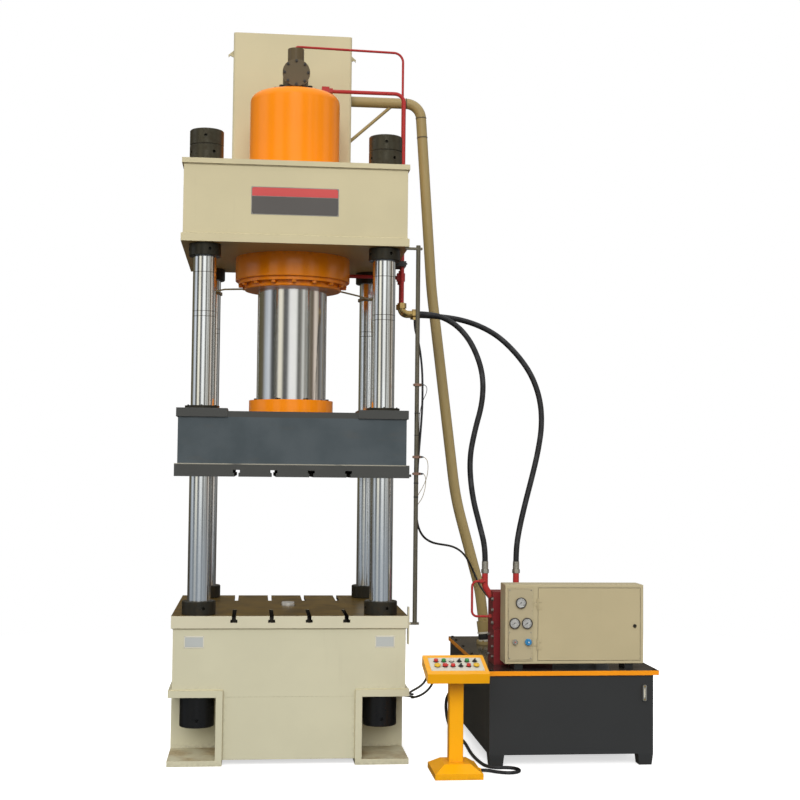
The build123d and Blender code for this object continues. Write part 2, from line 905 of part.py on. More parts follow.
# Cylinder pipes: the pressure pipe, and the pilot and lower-port pipes that meet in a tee.
with BuildPart() as cylinder_pipes:
    front = -pipe_spread
    back = pipe_spread
    block(
        (port_x - port_block / 2, port_x + port_block / 2),
        (front - port_block / 2, front + port_block / 2),
        (barrel_top, pressure_pipe_z + port_block / 2),
    )
    bent_pipe(
        [
            (port_x, front, pressure_pipe_z),
            (pipe_x, front, pressure_pipe_z),
            (pipe_x, front, pipe_end_z),
        ],
        [pipe_bend],
        pipe_dia,
    )
    bent_pipe(
        [
            (0, 0, valve_cap_top),
            (0, 0, pilot_pipe_z),
            (pipe_x, back, pilot_pipe_z),
            (pipe_x, back, lower_port_z),
        ],
        [pilot_pipe_dia, pipe_bend],
        pilot_pipe_dia,
    )
    port_start = sqrt((ring_dia / 2) ** 2 - (back + pipe_dia / 2) ** 2) - cut_margin
    bent_pipe(
        [
            (port_start, back, lower_port_z),
            (pipe_x, back, lower_port_z),
            (pipe_x, back, pipe_end_z),
        ],
        [pipe_bend * 0.7],
        pipe_dia,
    )
    block(
        (pipe_x - tee_size / 2, pipe_x + tee_size / 2),
        (back - tee_size / 2, back + tee_size / 2),
        (lower_port_z - tee_size / 2, lower_port_z + tee_size / 2),
    )
    port_face = port_x + port_block / 2
    union_end_x = port_face + union_length
    hexagon((port_face, front, pressure_pipe_z), (union_end_x, front, pressure_pipe_z), union_flats)
    hexagon((0, 0, valve_cap_top), (0, 0, valve_cap_top + pilot_union_length), pilot_union_flats)
    tee_bottom = lower_port_z - tee_size / 2
    hexagon((pipe_x, back, tee_bottom - union_length), (pipe_x, back, tee_bottom), union_flats)
    tee_top = lower_port_z + tee_size / 2
    hexagon((pipe_x, back, tee_top), (pipe_x, back, tee_top + 2 * pilot_union_length), pilot_union_flats)
    bar(
        (0, 0, lower_port_z - tee_size),
        (0, 0, lower_port_z + tee_size),
        ring_dia / 2 + fit_gap,
        mode=Mode.SUBTRACT,
    )
pieces["cylinder_pipes"] = cylinder_pipes

# Pipe clamps: blocks on the crosshead's side and under its edge that hold the pipes.
with BuildPart() as pipe_clamps:
    clamp_right = pipe_x + pipe_dia / 2 + clamp_cover / 2
    clamp_half = pipe_spread + pipe_dia / 2 + clamp_cover
    for z in clamp_heights:
        block(
            (head_width / 2 - head_inset, clamp_right),
            (-clamp_half, clamp_half),
            (z, z + clamp_thickness),
        )
    block(
        (head_width / 2 - clamp_cover, clamp_right),
        (-clamp_half, clamp_half),
        (head_bottom - clamp_thickness, head_bottom),
    )
    low = head_bottom - clamp_thickness - cut_margin
    for y, dia in ((-pipe_spread, pipe_dia), (pipe_spread, pilot_pipe_dia)):
        bar((pipe_x, y, low), (pipe_x, y, head_top), dia / 2 + fit_gap, mode=Mode.SUBTRACT)
pieces["pipe_clamps"] = pipe_clamps

# Hose elbows: a brass elbow with two hexagons at the end of each pipe.
with BuildPart() as hose_elbows:
    for y in (-pipe_spread, pipe_spread):
        bent_pipe(
            [(pipe_x, y, pipe_end_z), (pipe_x, y, elbow_z), (hose_start_x, y, elbow_z)],
            [elbow_bend],
            elbow_dia,
        )
        hexagon((pipe_x, y, pipe_end_z - elbow_nut), (pipe_x, y, pipe_end_z), elbow_flats)
        hexagon((hose_start_x - elbow_nut, y, elbow_z), (hose_start_x, y, elbow_z), elbow_flats)
    block(
        (elbow_clip_x - elbow_clip_size / 2, elbow_clip_x + elbow_clip_size / 2),
        (-pipe_spread - elbow_clip_size / 2, elbow_clip_size / 2 - pipe_spread),
        (elbow_clip_z, elbow_z - elbow_flats / 4),
    )
pieces["hose_elbows"] = hose_elbows

# Drain pipes: leakage oil from the gland, to a clip on each rear column.
with BuildPart() as drain_pipes:
    drain_z = gland_bottom + drain_pipe_dia / 2 + drain_port_rise
    for side, rise in ((1, 0.0), (-1, drain_left_rise)):
        start = (side * (gland_hub_dia / 2 - cut_margin), drain_port_y, drain_z)
        reach = (side * drain_reach_x, drain_reach_y, drain_z + rise)
        stop = (side * column_x, column_y - column_dia / 2 - drain_clip_wall / 2, drain_z + rise)
        bent_pipe([start, reach, stop], [drain_bend], drain_pipe_dia)
        clip_foot = (side * column_x, column_y, drain_z + rise - drain_clip_height / 2)
        with BuildSketch(Plane(origin=clip_foot)) as ring:
            Circle(column_dia / 2 + drain_clip_wall)
            Circle(column_dia / 2 + fit_gap, mode=Mode.SUBTRACT)
        extrude(ring.sketch, amount=drain_clip_height)
    bar((0, 0, gland_bottom), (0, 0, cylinder_bottom), gland_hub_dia / 2 + fit_gap, mode=Mode.SUBTRACT)
pieces["drain_pipes"] = drain_pipes

# Limit-switch rod: a bar between a plate on the worktable's edge and a strap on the crosshead.
with BuildPart() as switch_rod:
    half_bracket = rod_bracket_depth / 2
    rod_span = (rod_y - half_bracket, rod_y + half_bracket)
    block(
        (table_width / 2, table_width / 2 + rod_plate_thickness),
        rod_span,
        (table_top - rod_plate_drop, table_top + rod_plate_rise),
    )
    rod_bottom = table_top - rod_drop
    block(
        (table_width / 2, rod_x + rod_bracket_reach),
        (rod_y - half_bracket / 2, rod_y + half_bracket / 2),
        (rod_bottom, rod_bottom + rod_bracket),
    )
    block(
        (head_width / 2 - rod_bracket_depth / 2, rod_x + rod_bracket_reach),
        (rod_y - half_bracket / 2, rod_y + half_bracket / 2),
        (head_bottom - rod_bracket, head_bottom),
    )
    bar((rod_x, rod_y, rod_bottom), (rod_x, rod_y, head_bottom + rod_tip), rod_dia / 2)
pieces["switch_rod"] = switch_rod

# Limit switches: three clamps on the rod, each with a sensor that looks at the striker.
with BuildPart() as limit_switches:
    switch_clamp_left = rod_x - switch_clamp_reach
    for rise in switch_rises:
        z = slide_bottom + rise
        half = switch_clamp / 2
        top = z + switch_clamp_height / 2
        base_z = z - switch_clamp_height / 2
        block((switch_clamp_left, rod_x + half), (rod_y - half, rod_y + half), (base_z, top))
        bar((rod_x, rod_y, base_z), (rod_x, rod_y, top), rod_dia / 2 + fit_gap, mode=Mode.SUBTRACT)
        sensor_y = rod_y - half + switch_dia
        bar((rod_x - switch_tip_reach, sensor_y, z), (switch_clamp_left, sensor_y, z), switch_dia / 2)
pieces["limit_switches"] = limit_switches

# Ejector cylinder: hangs under the worktable inside the base.
bore_floor = body_top - ejector_barrel_length + ejector_base_thickness
with BuildPart() as ejector_cylinder:
    with BuildSketch(Plane.XZ):
        with BuildLine():
            Polyline(
                (ejector_rod_dia / 2 + fit_gap, bore_floor),
                (ejector_rod_dia / 2 + fit_gap, body_top),
                (ejector_flange_dia / 2, body_top),
                (ejector_flange_dia / 2, body_top - ejector_flange_thickness),
                (ejector_barrel_dia / 2, body_top - ejector_flange_thickness),
                (ejector_barrel_dia / 2, body_top - ejector_barrel_length),
                (0, body_top - ejector_barrel_length),
                (0, bore_floor),
                close=True,
            )
        make_face()
    revolve(axis=Axis.Z)
pieces["ejector_cylinder"] = ejector_cylinder

# Ejector rod: a chamfered bar that rises through the worktable.
with BuildPart() as ejector_rod:
    rod_floor = bore_floor + ejector_rod_lift
    bar((0, 0, rod_floor), (0, 0, table_top + ejector_rod_proud), ejector_rod_dia / 2)
    chamfer(ejector_rod.edges().filter_by(GeomType.CIRCLE).sort_by(Axis.Z)[-1], length=ejector_rod_chamfer)
pieces["ejector_rod"] = ejector_rod

# Slide: a T-slotted bolster, a box body and a raised pad at each corner.
with BuildPart() as slide:
    slide_x = table_width / 2
    slide_y = table_depth / 2
    pad_out_x = slide_x - slide_inset_x + corner_plate_proud
    pad_out_y = slide_y - slide_inset_y + corner_plate_proud
    block((-slide_x, slide_x), (-slide_y, slide_y), (slide_bottom, slide_bottom + slide_flange))
    block(
        (slide_inset_x - slide_x, slide_x - slide_inset_x),
        (slide_inset_y - slide_y, slide_y - slide_inset_y),
        (slide_bottom, slide_body_top),
    )
    four_corners(
        (pad_out_x - corner_plate_width, pad_out_x),
        (pad_out_y - corner_plate_width, pad_out_y),
        (slide_top - corner_plate_thickness, slide_top),
    )
    slide_edge = Plane(origin=(0, -slide_y, slide_bottom), x_dir=(-1, 0, 0), z_dir=(0, -1, 0))
    for x in slot_places:
        cut_slot(slide_edge, x, table_depth)
    with Locations(*[(x, y, slide_bottom) for x, y in column_places]):
        Cylinder(
            bush_dia / 2 + fit_gap,
            slide_top - slide_bottom,
            align=(Align.CENTER, Align.CENTER, Align.MIN),
            mode=Mode.SUBTRACT,
        )
    block(
        (slide_x, slide_x + striker_reach),
        (rod_y - striker_width / 2, rod_y + striker_width / 2),
        (slide_bottom + striker_height / 2, slide_bottom + 1.5 * striker_height),
    )
pieces["slide"] = slide

# Guide bushes: flanged bronze bushes that run on the columns.
with BuildPart() as guide_bushes:
    with BuildSketch(Plane.XY.offset(slide_bottom)):
        with Locations(*column_places):
            Circle(bush_dia / 2)
            Circle(column_dia / 2 + fit_gap, mode=Mode.SUBTRACT)
    extrude(amount=slide_top - slide_bottom)
    with BuildSketch(Plane.XY.offset(slide_top)):
        with Locations(*column_places):
            Circle(bush_flange_dia / 2)
            Circle(column_dia / 2 + fit_gap, mode=Mode.SUBTRACT)
    extrude(amount=bush_flange_height)
pieces["guide_bushes"] = guide_bushes

# Ram: a chromed plunger with a piston in the barrel and a groove for its flange.
groove_z = ram_bottom + (ram_flange_height - ram_groove_height) / 2
with BuildPart() as ram:
    with BuildSketch(Plane.XZ):
        with BuildLine():
            Polyline(
                (0, ram_bottom),
                (ram_dia / 2, ram_bottom),
                (ram_dia / 2, groove_z),
                (ram_dia / 2 - ram_groove_depth, groove_z),
                (ram_dia / 2 - ram_groove_depth, groove_z + ram_groove_height),
                (ram_dia / 2, groove_z + ram_groove_height),
                (ram_dia / 2, piston_top - piston_height),
                (barrel_bore / 2 - fit_gap, piston_top - piston_height),
                (barrel_bore / 2 - fit_gap, piston_top),
                (0, piston_top),
                close=True,
            )
        make_face()
    revolve(axis=Axis.Z)
pieces["ram"] = ram

# Ram flange: two half rings whose tongue sits in the ram's groove.
with BuildPart() as ram_flange:
    with BuildSketch(Plane.XZ):
        with BuildLine():
            Polyline(
                (ram_dia / 2 + fit_gap, ram_bottom),
                (ram_flange_dia / 2, ram_bottom),
                (ram_flange_dia / 2, ram_bottom + ram_flange_height),
                (ram_dia / 2 + fit_gap, ram_bottom + ram_flange_height),
                (ram_dia / 2 + fit_gap, groove_z + ram_groove_height - fit_gap),
                (ram_dia / 2 - ram_groove_depth + fit_gap, groove_z + ram_groove_height - fit_gap),
                (ram_dia / 2 - ram_groove_depth + fit_gap, groove_z + fit_gap),
                (ram_dia / 2 + fit_gap, groove_z + fit_gap),
                close=True,
            )
        make_face()
    revolve(axis=Axis.Z)
    block(
        (-ram_flange_dia, ram_flange_dia),
        (-ram_flange_split / 2, ram_flange_split / 2),
        (ram_bottom - cut_margin, ram_bottom + ram_flange_height + cut_margin),
        mode=Mode.SUBTRACT,
    )
pieces["ram_flange"] = ram_flange

# Oil tank: a closed box on four tapered legs.
with BuildPart() as oil_tank:
    block(
        (oil_tank_left, oil_tank_right),
        (oil_tank_front, oil_tank_back),
        (oil_tank_bottom, lid_bottom),
    )
    leg_places = [
        (x, y)
        for x in (oil_tank_left + leg_width / 2, oil_tank_right - leg_width / 2)
        for y in (oil_tank_front + leg_width / 2, oil_tank_back - leg_width / 2)
    ]
    with BuildSketch(Plane.XY.offset(oil_tank_bottom)):
        with Locations(*leg_places):
            Rectangle(leg_width, leg_width)
    extrude(amount=-oil_tank_bottom, taper=leg_taper)
    block(
        (oil_tank_right, oil_tank_right + side_lug_thickness),
        (oil_tank_front + side_lug_inset, oil_tank_front + side_lug_inset + side_lug_width),
        (lid_bottom - side_lug_drop - side_lug_height, lid_bottom - side_lug_drop),
    )
    bar(
        (oil_tank_left - cable_gland_length, tank_gland_y, tank_gland_z),
        (oil_tank_left, tank_gland_y, tank_gland_z),
        cable_gland_dia / 2,
    )
pieces["oil_tank"] = oil_tank

# Tank lid: one plate that overhangs the tank.
with BuildPart() as tank_lid:
    block(
        (oil_tank_left - lid_left, oil_tank_right + lid_right),
        (oil_tank_front - lid_front, oil_tank_back + lid_front),
        (lid_bottom, lid_top),
    )
pieces["tank_lid"] = tank_lid

# Level gauge: a sight glass in a metal body on the tank's front.
with BuildPart() as level_gauge:
    level_x = oil_tank_right - level_inset
    block(
        (level_x - level_width / 2, level_x + level_width / 2),
        (oil_tank_front - level_depth, oil_tank_front),
        (level_z - level_height / 2, level_z + level_height / 2),
    )
    fillet(level_gauge.edges().filter_by(Axis.Y), radius=level_width / 3)
    window = Plane.XZ.offset(level_depth - oil_tank_front)
    with BuildSketch(window):
        with Locations((level_x, level_z)):
            SlotOverall(level_height * 0.62, level_width * 0.45, rotation=90)
    extrude(amount=-level_depth / 3, mode=Mode.SUBTRACT)
pieces["level_gauge"] = level_gauge

# Cabinet: a folded sheet shell on feet, open in front for the panel and the door.
hinge_bottoms = (
    opening_bottom + hinge_from_edge,
    opening_top - hinge_from_edge - 3 * hinge_knuckle,
)
leaf_front = cabinet_front - hinge_leaf_thickness
with BuildPart() as cabinet:
    block((cabinet_left, cabinet_right), (cabinet_front, cabinet_back), (cabinet_bottom, cabinet_top))
    fillet(cabinet.edges(), radius=cabinet_sheet)
    block(
        (cabinet_left + cabinet_sheet, cabinet_right - cabinet_sheet),
        (cabinet_front + cabinet_sheet, cabinet_back - cabinet_sheet),
        (cabinet_bottom + cabinet_sheet, cabinet_top - cabinet_sheet),
        mode=Mode.SUBTRACT,
    )
    front_skin = (cabinet_front - cut_margin, cabinet_front + 2 * cabinet_sheet)
    block((door_left, door_right), front_skin, (opening_bottom, opening_top), mode=Mode.SUBTRACT)
    block(
        (panel_left + panel_lap, panel_right - panel_lap),
        front_skin,
        (opening_bottom + panel_lap, opening_top - panel_lap),
        mode=Mode.SUBTRACT,
    )
    for x in (cabinet_left + cabinet_foot_inset, cabinet_right - cabinet_foot_inset - cabinet_foot_width):
        block(
            (x, x + cabinet_foot_width),
            (cabinet_front + cabinet_rim, cabinet_back - cabinet_rim),
            (lid_top, cabinet_bottom),
        )
    for bottom in hinge_bottoms:
        knuckle = (bottom + hinge_knuckle + fit_gap, bottom + 2 * hinge_knuckle - fit_gap)
        block((hinge_x - hinge_leaf, hinge_x), (leaf_front, cabinet_front), knuckle)
        bar((hinge_x, hinge_y, knuckle[0]), (hinge_x, hinge_y, knuckle[1]), hinge_dia / 2)
        bar(
            (hinge_x, hinge_y, knuckle[0]),
            (hinge_x, hinge_y, knuckle[1]),
            hinge_pin_dia / 2 + fit_gap,
            mode=Mode.SUBTRACT,
        )
pieces["cabinet"] = cabinet

# Instrument panel: a plate over the cabinet's left opening, bored for gauges and knobs.
gauge_case_dia = gauge_dia - 2 * gauge_case_step
gauge_places = [(panel_left + x, cabinet_bottom + z) for x, z in gauge_offsets]
shutoff_knob_x = panel_left + shutoff_knob_inset
relief_knob_x = panel_left + relief_knob_inset
with BuildPart() as instrument_panel:
    block(
        (panel_left, panel_right),
        (cabinet_front - panel_sheet, cabinet_front),
        (opening_bottom, opening_top),
    )
    panel_face = Plane.XZ.offset(panel_sheet - cabinet_front)
    with BuildSketch(panel_face):
        with Locations(*gauge_places):
            Circle(gauge_case_dia / 2 + fit_gap)
        with Locations((shutoff_knob_x, knob_z), (relief_knob_x, knob_z)):
            Circle(stem_dia / 2 + fit_gap)
    extrude(amount=-panel_sheet, mode=Mode.SUBTRACT)
pieces["instrument_panel"] = instrument_panel

# Gauges: three dial gauges, each with a bezel, a sunk dial and a stem.
with BuildPart() as gauges:
    bezel_back = cabinet_front - panel_sheet
    for x, z in gauge_places:
        bar((x, bezel_back - gauge_bezel, z), (x, bezel_back, z), gauge_dia / 2)
        bar((x, bezel_back, z), (x, bezel_back + gauge_case_depth, z), gauge_case_dia / 2)
        bar(
            (x, bezel_back + gauge_case_depth, z),
            (x, bezel_back + 1.6 * gauge_case_depth, z),
            stem_dia / 2,
        )
        bar(
            (x, bezel_back - gauge_bezel, z),
            (x, bezel_back - gauge_bezel / 2, z),
            gauge_dia / 2 - gauge_rim,
            mode=Mode.SUBTRACT,
        )
pieces["gauges"] = gauges


def panel_knob(x, dia, length, grip):
    """A knob on a stem through the instrument panel."""
    face = cabinet_front - panel_sheet
    with BuildPart() as knob:
        bar((x, face - fit_gap - length, knob_z), (x, face - fit_gap, knob_z), dia / 2)
        rim = knob.edges().filter_by(GeomType.CIRCLE).sort_by(Axis.Y)[0]
        chamfer(rim, length=knob_chamfer)
        bar((x, face - fit_gap, knob_z), (x, face + stem_length, knob_z), stem_dia / 2)
        block(
            (x - grip / 2, x + grip / 2),
            (face - fit_gap - length * 1.6, face - fit_gap - length / 2),
            (knob_z - dia * 0.4, knob_z + dia * 0.4),
        )
    return knob


pieces["shutoff_knob"] = panel_knob(
    shutoff_knob_x, shutoff_knob_dia, shutoff_knob_length, shutoff_knob_grip
)
pieces["relief_knob"] = panel_knob(relief_knob_x, relief_knob_dia, relief_knob_length, relief_knob_grip)

# Cabinet door: a folded sheet tray hinged at its left edge, with its knuckles and pins.
door_bottom = opening_bottom + door_gap
door_top = opening_top - door_gap
door_back = cabinet_front + door_edge
lock_x = door_right - lock_inset
lock_z = opening_bottom + lock_rise
with BuildPart() as cabinet_door:
    block(
        (door_left + door_gap, door_right - door_gap),
        (cabinet_front, door_back),
        (door_bottom, door_top),
    )
    block(
        (door_left + door_gap + cabinet_sheet, door_right - door_gap - cabinet_sheet),
        (cabinet_front + cabinet_sheet, door_back),
        (door_bottom + cabinet_sheet, door_top - cabinet_sheet),
        mode=Mode.SUBTRACT,
    )
    bar((lock_x, cabinet_front, lock_z), (lock_x, door_back, lock_z), lock_bore / 2, Mode.SUBTRACT)
    for bottom in hinge_bottoms:
        for knuckle_bottom in (bottom, bottom + 2 * hinge_knuckle):
            knuckle = (knuckle_bottom, knuckle_bottom + hinge_knuckle)
            bar((hinge_x, hinge_y, knuckle[0]), (hinge_x, hinge_y, knuckle[1]), hinge_dia / 2)
            block((hinge_x, hinge_x + door_gap + hinge_leaf), (leaf_front, cabinet_front), knuckle)
        bar((hinge_x, hinge_y, bottom), (hinge_x, hinge_y, bottom + 3 * hinge_knuckle), hinge_pin_dia / 2)
pieces["cabinet_door"] = cabinet_door

# Door lock: a quarter-turn lock with a bar behind the door.
with BuildPart() as door_lock:
    face = cabinet_front - fit_gap
    head_front = face - lock_head
    bar_front = door_back + lock_tab / 2
    bar_back = bar_front + lock_tab
    bar((lock_x, head_front, lock_z), (lock_x, face, lock_z), lock_dia / 2)
    bar((lock_x, face, lock_z), (lock_x, bar_back, lock_z), lock_bore / 2 - fit_gap)
    block(
        (lock_x - lock_tab / 2, lock_x + lock_tab / 2),
        (head_front - lock_tab, head_front),
        (lock_z - lock_dia * 0.4, lock_z + lock_dia * 0.4),
    )
    block(
        (lock_x - lock_bar_width / 2, lock_x + lock_bar_width / 2),
        (bar_front, bar_back),
        (lock_z - lock_bar_width / 2, lock_z + lock_bar_length),
    )
pieces["door_lock"] = door_lock

# Motor: a finned frame on feet with a fan cowl, a terminal box and a lifting eye, and its bell
# housing.
motor_right = motor_left + motor_length
cowl_end = motor_right + cowl_length
bell_end = motor_left - bell_length
motor_axis = Axis((0, motor_y, motor_z), (1, 0, 0))
through_axis = Plane(origin=(0, motor_y, motor_z), x_dir=(1, 0, 0), z_dir=(0, -1, 0))


def across_axis(x):
    """The plane square to the motor's axis at this x, with its own x along +Y."""
    return Plane(origin=(x, motor_y, motor_z), x_dir=(0, 1, 0), z_dir=(1, 0, 0))


with BuildPart() as motor:
    bar((motor_right, motor_y, motor_z), (cowl_end, motor_y, motor_z), cowl_dia / 2)
    fillet(motor.edges().filter_by(GeomType.CIRCLE).sort_by(Axis.X)[-1], radius=cowl_round)
    with BuildSketch(across_axis(cowl_end)):
        with PolarLocations((grille_inner_dia + grille_outer_dia) / 4, grille_slots):
            SlotOverall((grille_outer_dia - grille_inner_dia) / 2, grille_slot_width)
    extrude(amount=-grille_depth, mode=Mode.SUBTRACT)
    fin_height = (motor_dia - motor_core_dia) / 2 + motor_fin_thickness
    with BuildSketch(across_axis(motor_left)):
        Circle(motor_core_dia / 2)
        with PolarLocations((motor_dia - fin_height) / 2, motor_fins):
            Rectangle(fin_height, motor_fin_thickness)
    extrude(amount=motor_length)
    with BuildSketch(through_axis):
        with BuildLine():
            Polyline(
                (bell_end, 0),
                (bell_end, bell_neck_dia / 2),
                (bell_end + bell_flange, bell_neck_dia / 2),
                (motor_left - bell_flange, bell_dia / 2),
                (motor_left, bell_dia / 2),
                (motor_left, end_shield_dia / 2),
                (motor_left + end_shield_length, end_shield_dia / 2),
                (motor_left + end_shield_length, 0),
                close=True,
            )
        make_face()
    revolve(axis=motor_axis)
    for x in (motor_left + motor_foot_inset, motor_right - motor_foot_inset - motor_foot_width):
        with BuildSketch(across_axis(x)):
            with BuildLine():
                Polyline(
                    (-motor_foot_spread / 2, -motor_height),
                    (-motor_foot_spread / 2, motor_foot_thickness - motor_height),
                    (-motor_foot_web / 2, 2 * motor_foot_thickness - motor_height),
                    (-motor_foot_web / 2, -motor_height / 2),
                    (motor_foot_web / 2, -motor_height / 2),
                    (motor_foot_web / 2, 2 * motor_foot_thickness - motor_height),
                    (motor_foot_spread / 2, motor_foot_thickness - motor_height),
                    (motor_foot_spread / 2, -motor_height),
                    close=True,
                )
            make_face()
        extrude(amount=motor_foot_width)
    box_left = motor_left + terminal_inset
    box_bottom = motor_z + motor_core_dia / 2 - motor_fin_thickness
    box_top = box_bottom + terminal_height
    box_y = (motor_y - terminal_width / 2, motor_y + terminal_width / 2)
    block((box_left, box_left + terminal_length), box_y, (box_bottom, box_top))
    block(
        (box_left - terminal_lip, box_left + terminal_length + terminal_lip),
        (box_y[0] - terminal_lip, box_y[1] + terminal_lip),
        (box_top, box_top + terminal_lid),
    )
    eye_z = motor_z + motor_dia / 2 + eye_dia / 2 - eye_bar_dia / 2
    with Locations(Plane(origin=(motor_left + eye_inset, motor_y, eye_z), z_dir=(1, 0, 0))):
        Torus(eye_dia / 2, eye_bar_dia / 2)
pieces["motor"] = motor

# Pump: a flanged round body on the bell housing with a screwed end cover and a suction stub.
with BuildPart() as pump:
    pump_end = bell_end - pump_length
    with BuildSketch(through_axis):
        with BuildLine():
            Polyline(
                (pump_end, 0),
                (pump_end, pump_cover_dia / 2),
                (pump_end + pump_cover_thickness, pump_cover_dia / 2),
                (pump_end + pump_cover_thickness, pump_dia / 2),
                (bell_end - pump_flange_thickness, pump_dia / 2),
                (bell_end - pump_flange_thickness, pump_flange_dia / 2),
                (bell_end, pump_flange_dia / 2),
                (bell_end, 0),
                close=True,
            )
        make_face()
    revolve(axis=motor_axis)
    with BuildSketch(across_axis(pump_end)):
        with PolarLocations(pump_cover_dia / 2 - pump_cover_screw_dia, pump_cover_screws):
            RegularPolygon(pump_cover_screw_dia / 2, 6)
    extrude(amount=-pump_cover_screw_dia / 2)
    pump_x = bell_end - pump_length / 2
    bar((pump_x, motor_y, lid_top), (pump_x, motor_y, motor_z), pump_inlet_dia / 2)
pieces["pump"] = pump

# Valve block: a drilled block with a tower of cartridge valves at its left end.
valve_block_right = valve_block_left + valve_block_width
valve_block_top = lid_top + valve_block_height
with BuildPart() as valve_block:
    block(
        (valve_block_left, valve_block_right),
        (valve_block_front, valve_block_back),
        (lid_top, valve_block_top),
    )
    block(
        (valve_block_left, valve_block_left + valve_tower_width),
        (valve_block_front + valve_tower_setback, valve_block_back),
        (valve_block_top, valve_tower_top),
    )
    cover_z = (lid_top + valve_block_top) / 2
    cover_back_y = valve_block_back + valve_cover_depth
    bolt_pitch = valve_cover_size - 2 * valve_cover_bolt_dia
    for inset in valve_cover_insets:
        x = valve_block_left + inset
        half = valve_cover_size / 2
        block((x - half, x + half), (valve_block_back, cover_back_y), (cover_z - half, cover_z + half))
        with BuildSketch(Plane(origin=(x, cover_back_y, cover_z), z_dir=(0, 1, 0))):
            with GridLocations(bolt_pitch, bolt_pitch, 2, 2):
                Circle(valve_cover_bolt_dia / 2)
        extrude(amount=valve_cover_bolt_head)
pieces["valve_block"] = valve_block

# Solenoid valves: two valves with round coils on the block's top.
with BuildPart() as solenoid_valves:
    last_x = valve_block_right - solenoid_spacing / 2
    valve_front = valve_block_front + valve_tower_setback
    coil_front = valve_front + solenoid_width
    coil_z = valve_block_top + solenoid_height / 2
    for x in (last_x - solenoid_spacing, last_x):
        block(
            (x - solenoid_width / 2, x + solenoid_width / 2),
            (valve_front, coil_front),
            (valve_block_top, valve_block_top + solenoid_height),
        )
        coil_back = coil_front + solenoid_length
        bar((x, coil_front, coil_z), (x, coil_back, coil_z), solenoid_dia / 2)
        hexagon((x, coil_back, coil_z), (x, coil_back + solenoid_nut, coil_z), solenoid_nut_flats)
        plug_z = coil_z + solenoid_dia / 2 - cut_margin
        plug_y = coil_front + solenoid_length / 2
        block(
            (x - plug_size / 2, x + plug_size / 2),
            (plug_y - plug_size / 2, plug_y + plug_size / 2),
            (plug_z, plug_z + plug_height),
        )
pieces["solenoid_valves"] = solenoid_valves

# Unit pipes: the two risers to the hoses and the bent control pipe.
with BuildPart() as unit_pipes:
    front_riser_z = valve_tower_top - front_riser_drop
    bent_pipe(
        [
            (valve_block_left, riser_y, front_riser_z),
            (front_riser_x, riser_y, front_riser_z + front_riser_climb),
            (front_riser_x, riser_y, riser_top),
        ],
        [riser_bend],
        riser_dia,
    )
    block(
        (valve_block_left, valve_block_left + riser_dia),
        (riser_y - riser_dia, riser_y + riser_dia),
        (front_riser_z - riser_dia, front_riser_z + riser_dia),
        mode=Mode.SUBTRACT,
    )
    bar((back_riser_x, riser_y, valve_tower_top), (back_riser_x, riser_y, riser_top), riser_dia / 2)
    pump_line_z = motor_z - pump_line_drop
    bar((pump_x, valve_block_back, pump_line_z), (pump_x, motor_y, pump_line_z), pump_line_dia / 2)
    hexagon(
        (pump_x, valve_block_back, pump_line_z),
        (pump_x, valve_block_back + union_length, pump_line_z),
        union_flats,
    )
    bar(
        (pump_x - union_flats, motor_y, motor_z),
        (pump_x + union_flats, motor_y, motor_z),
        pump_dia / 2 + fit_gap,
        mode=Mode.SUBTRACT,
    )
    control_y = riser_y - control_pipe_step
    control_left = front_riser_x - control_pipe_reach
    control_high = riser_top - control_pipe_head
    control_low = valve_tower_top - control_pipe_drop
    bent_pipe(
        [
            (front_riser_x, control_y, control_high),
            (control_left, control_y, control_high),
            (control_left, control_y, control_low),
            (valve_block_left, control_y, control_low),
        ],
        [control_pipe_bend, control_pipe_bend],
        control_pipe_dia,
    )
    hexagon(
        (valve_block_left - control_union_length, control_y, control_low),
        (valve_block_left, control_y, control_low),
        control_union_flats,
    )
    union_end = front_riser_x - riser_dia / 2
    hexagon(
        (union_end - control_union_length, control_y, control_high),
        (union_end + cut_margin, control_y, control_high),
        control_union_flats,
    )
pieces["unit_pipes"] = unit_pipes

# Hose ferrules: crimped ends with a hexagon on top of each riser.
with BuildPart() as hose_ferrules:
    for x in (front_riser_x, back_riser_x):
        nut_top = (x, riser_y, riser_top + ferrule_nut)
        hexagon((x, riser_y, riser_top), nut_top, riser_dia + ferrule_nut_margin)
        bar(nut_top, (x, riser_y, riser_top + ferrule_height), hose_dia / 2 + ferrule_wall)
pieces["hose_ferrules"] = hose_ferrules

# Pedestal: a weighted foot with a sloped crown and a square post.
with BuildPart() as pedestal:
    block(
        (pedestal_x - pedestal_width / 2, pedestal_x + pedestal_width / 2),
        (pedestal_y - pedestal_depth / 2, pedestal_y + pedestal_depth / 2),
        (0, pedestal_rim),
    )
    with BuildSketch(Plane(origin=(pedestal_x, pedestal_y, pedestal_rim))):
        Rectangle(pedestal_width - 2 * pedestal_lip, pedestal_depth - 2 * pedestal_lip)
    with BuildSketch(Plane(origin=(pedestal_x, pedestal_y, pedestal_crown))):
        Rectangle(pedestal_width * pedestal_crown_share, pedestal_depth * pedestal_crown_share)
    loft()
    with BuildSketch(Plane(origin=(pedestal_x, pedestal_y, pedestal_crown))):
        RectangleRounded(post_size, post_size, post_round)
    extrude(amount=desk_z + desk_thickness - pedestal_crown)
    bar(
        (pedestal_x + pedestal_width / 2, pedestal_y, pedestal_rim / 2),
        (pedestal_x + pedestal_width / 2 + pedestal_gland_length, pedestal_y, pedestal_rim / 2),
        cable_gland_dia / 2,
    )
    with BuildSketch(desk.offset(-desk_thickness)):
        Rectangle(2 * desk_width, 2 * desk_depth)
    extrude(amount=3 * desk_thickness, mode=Mode.SUBTRACT)
pieces["pedestal"] = pedestal

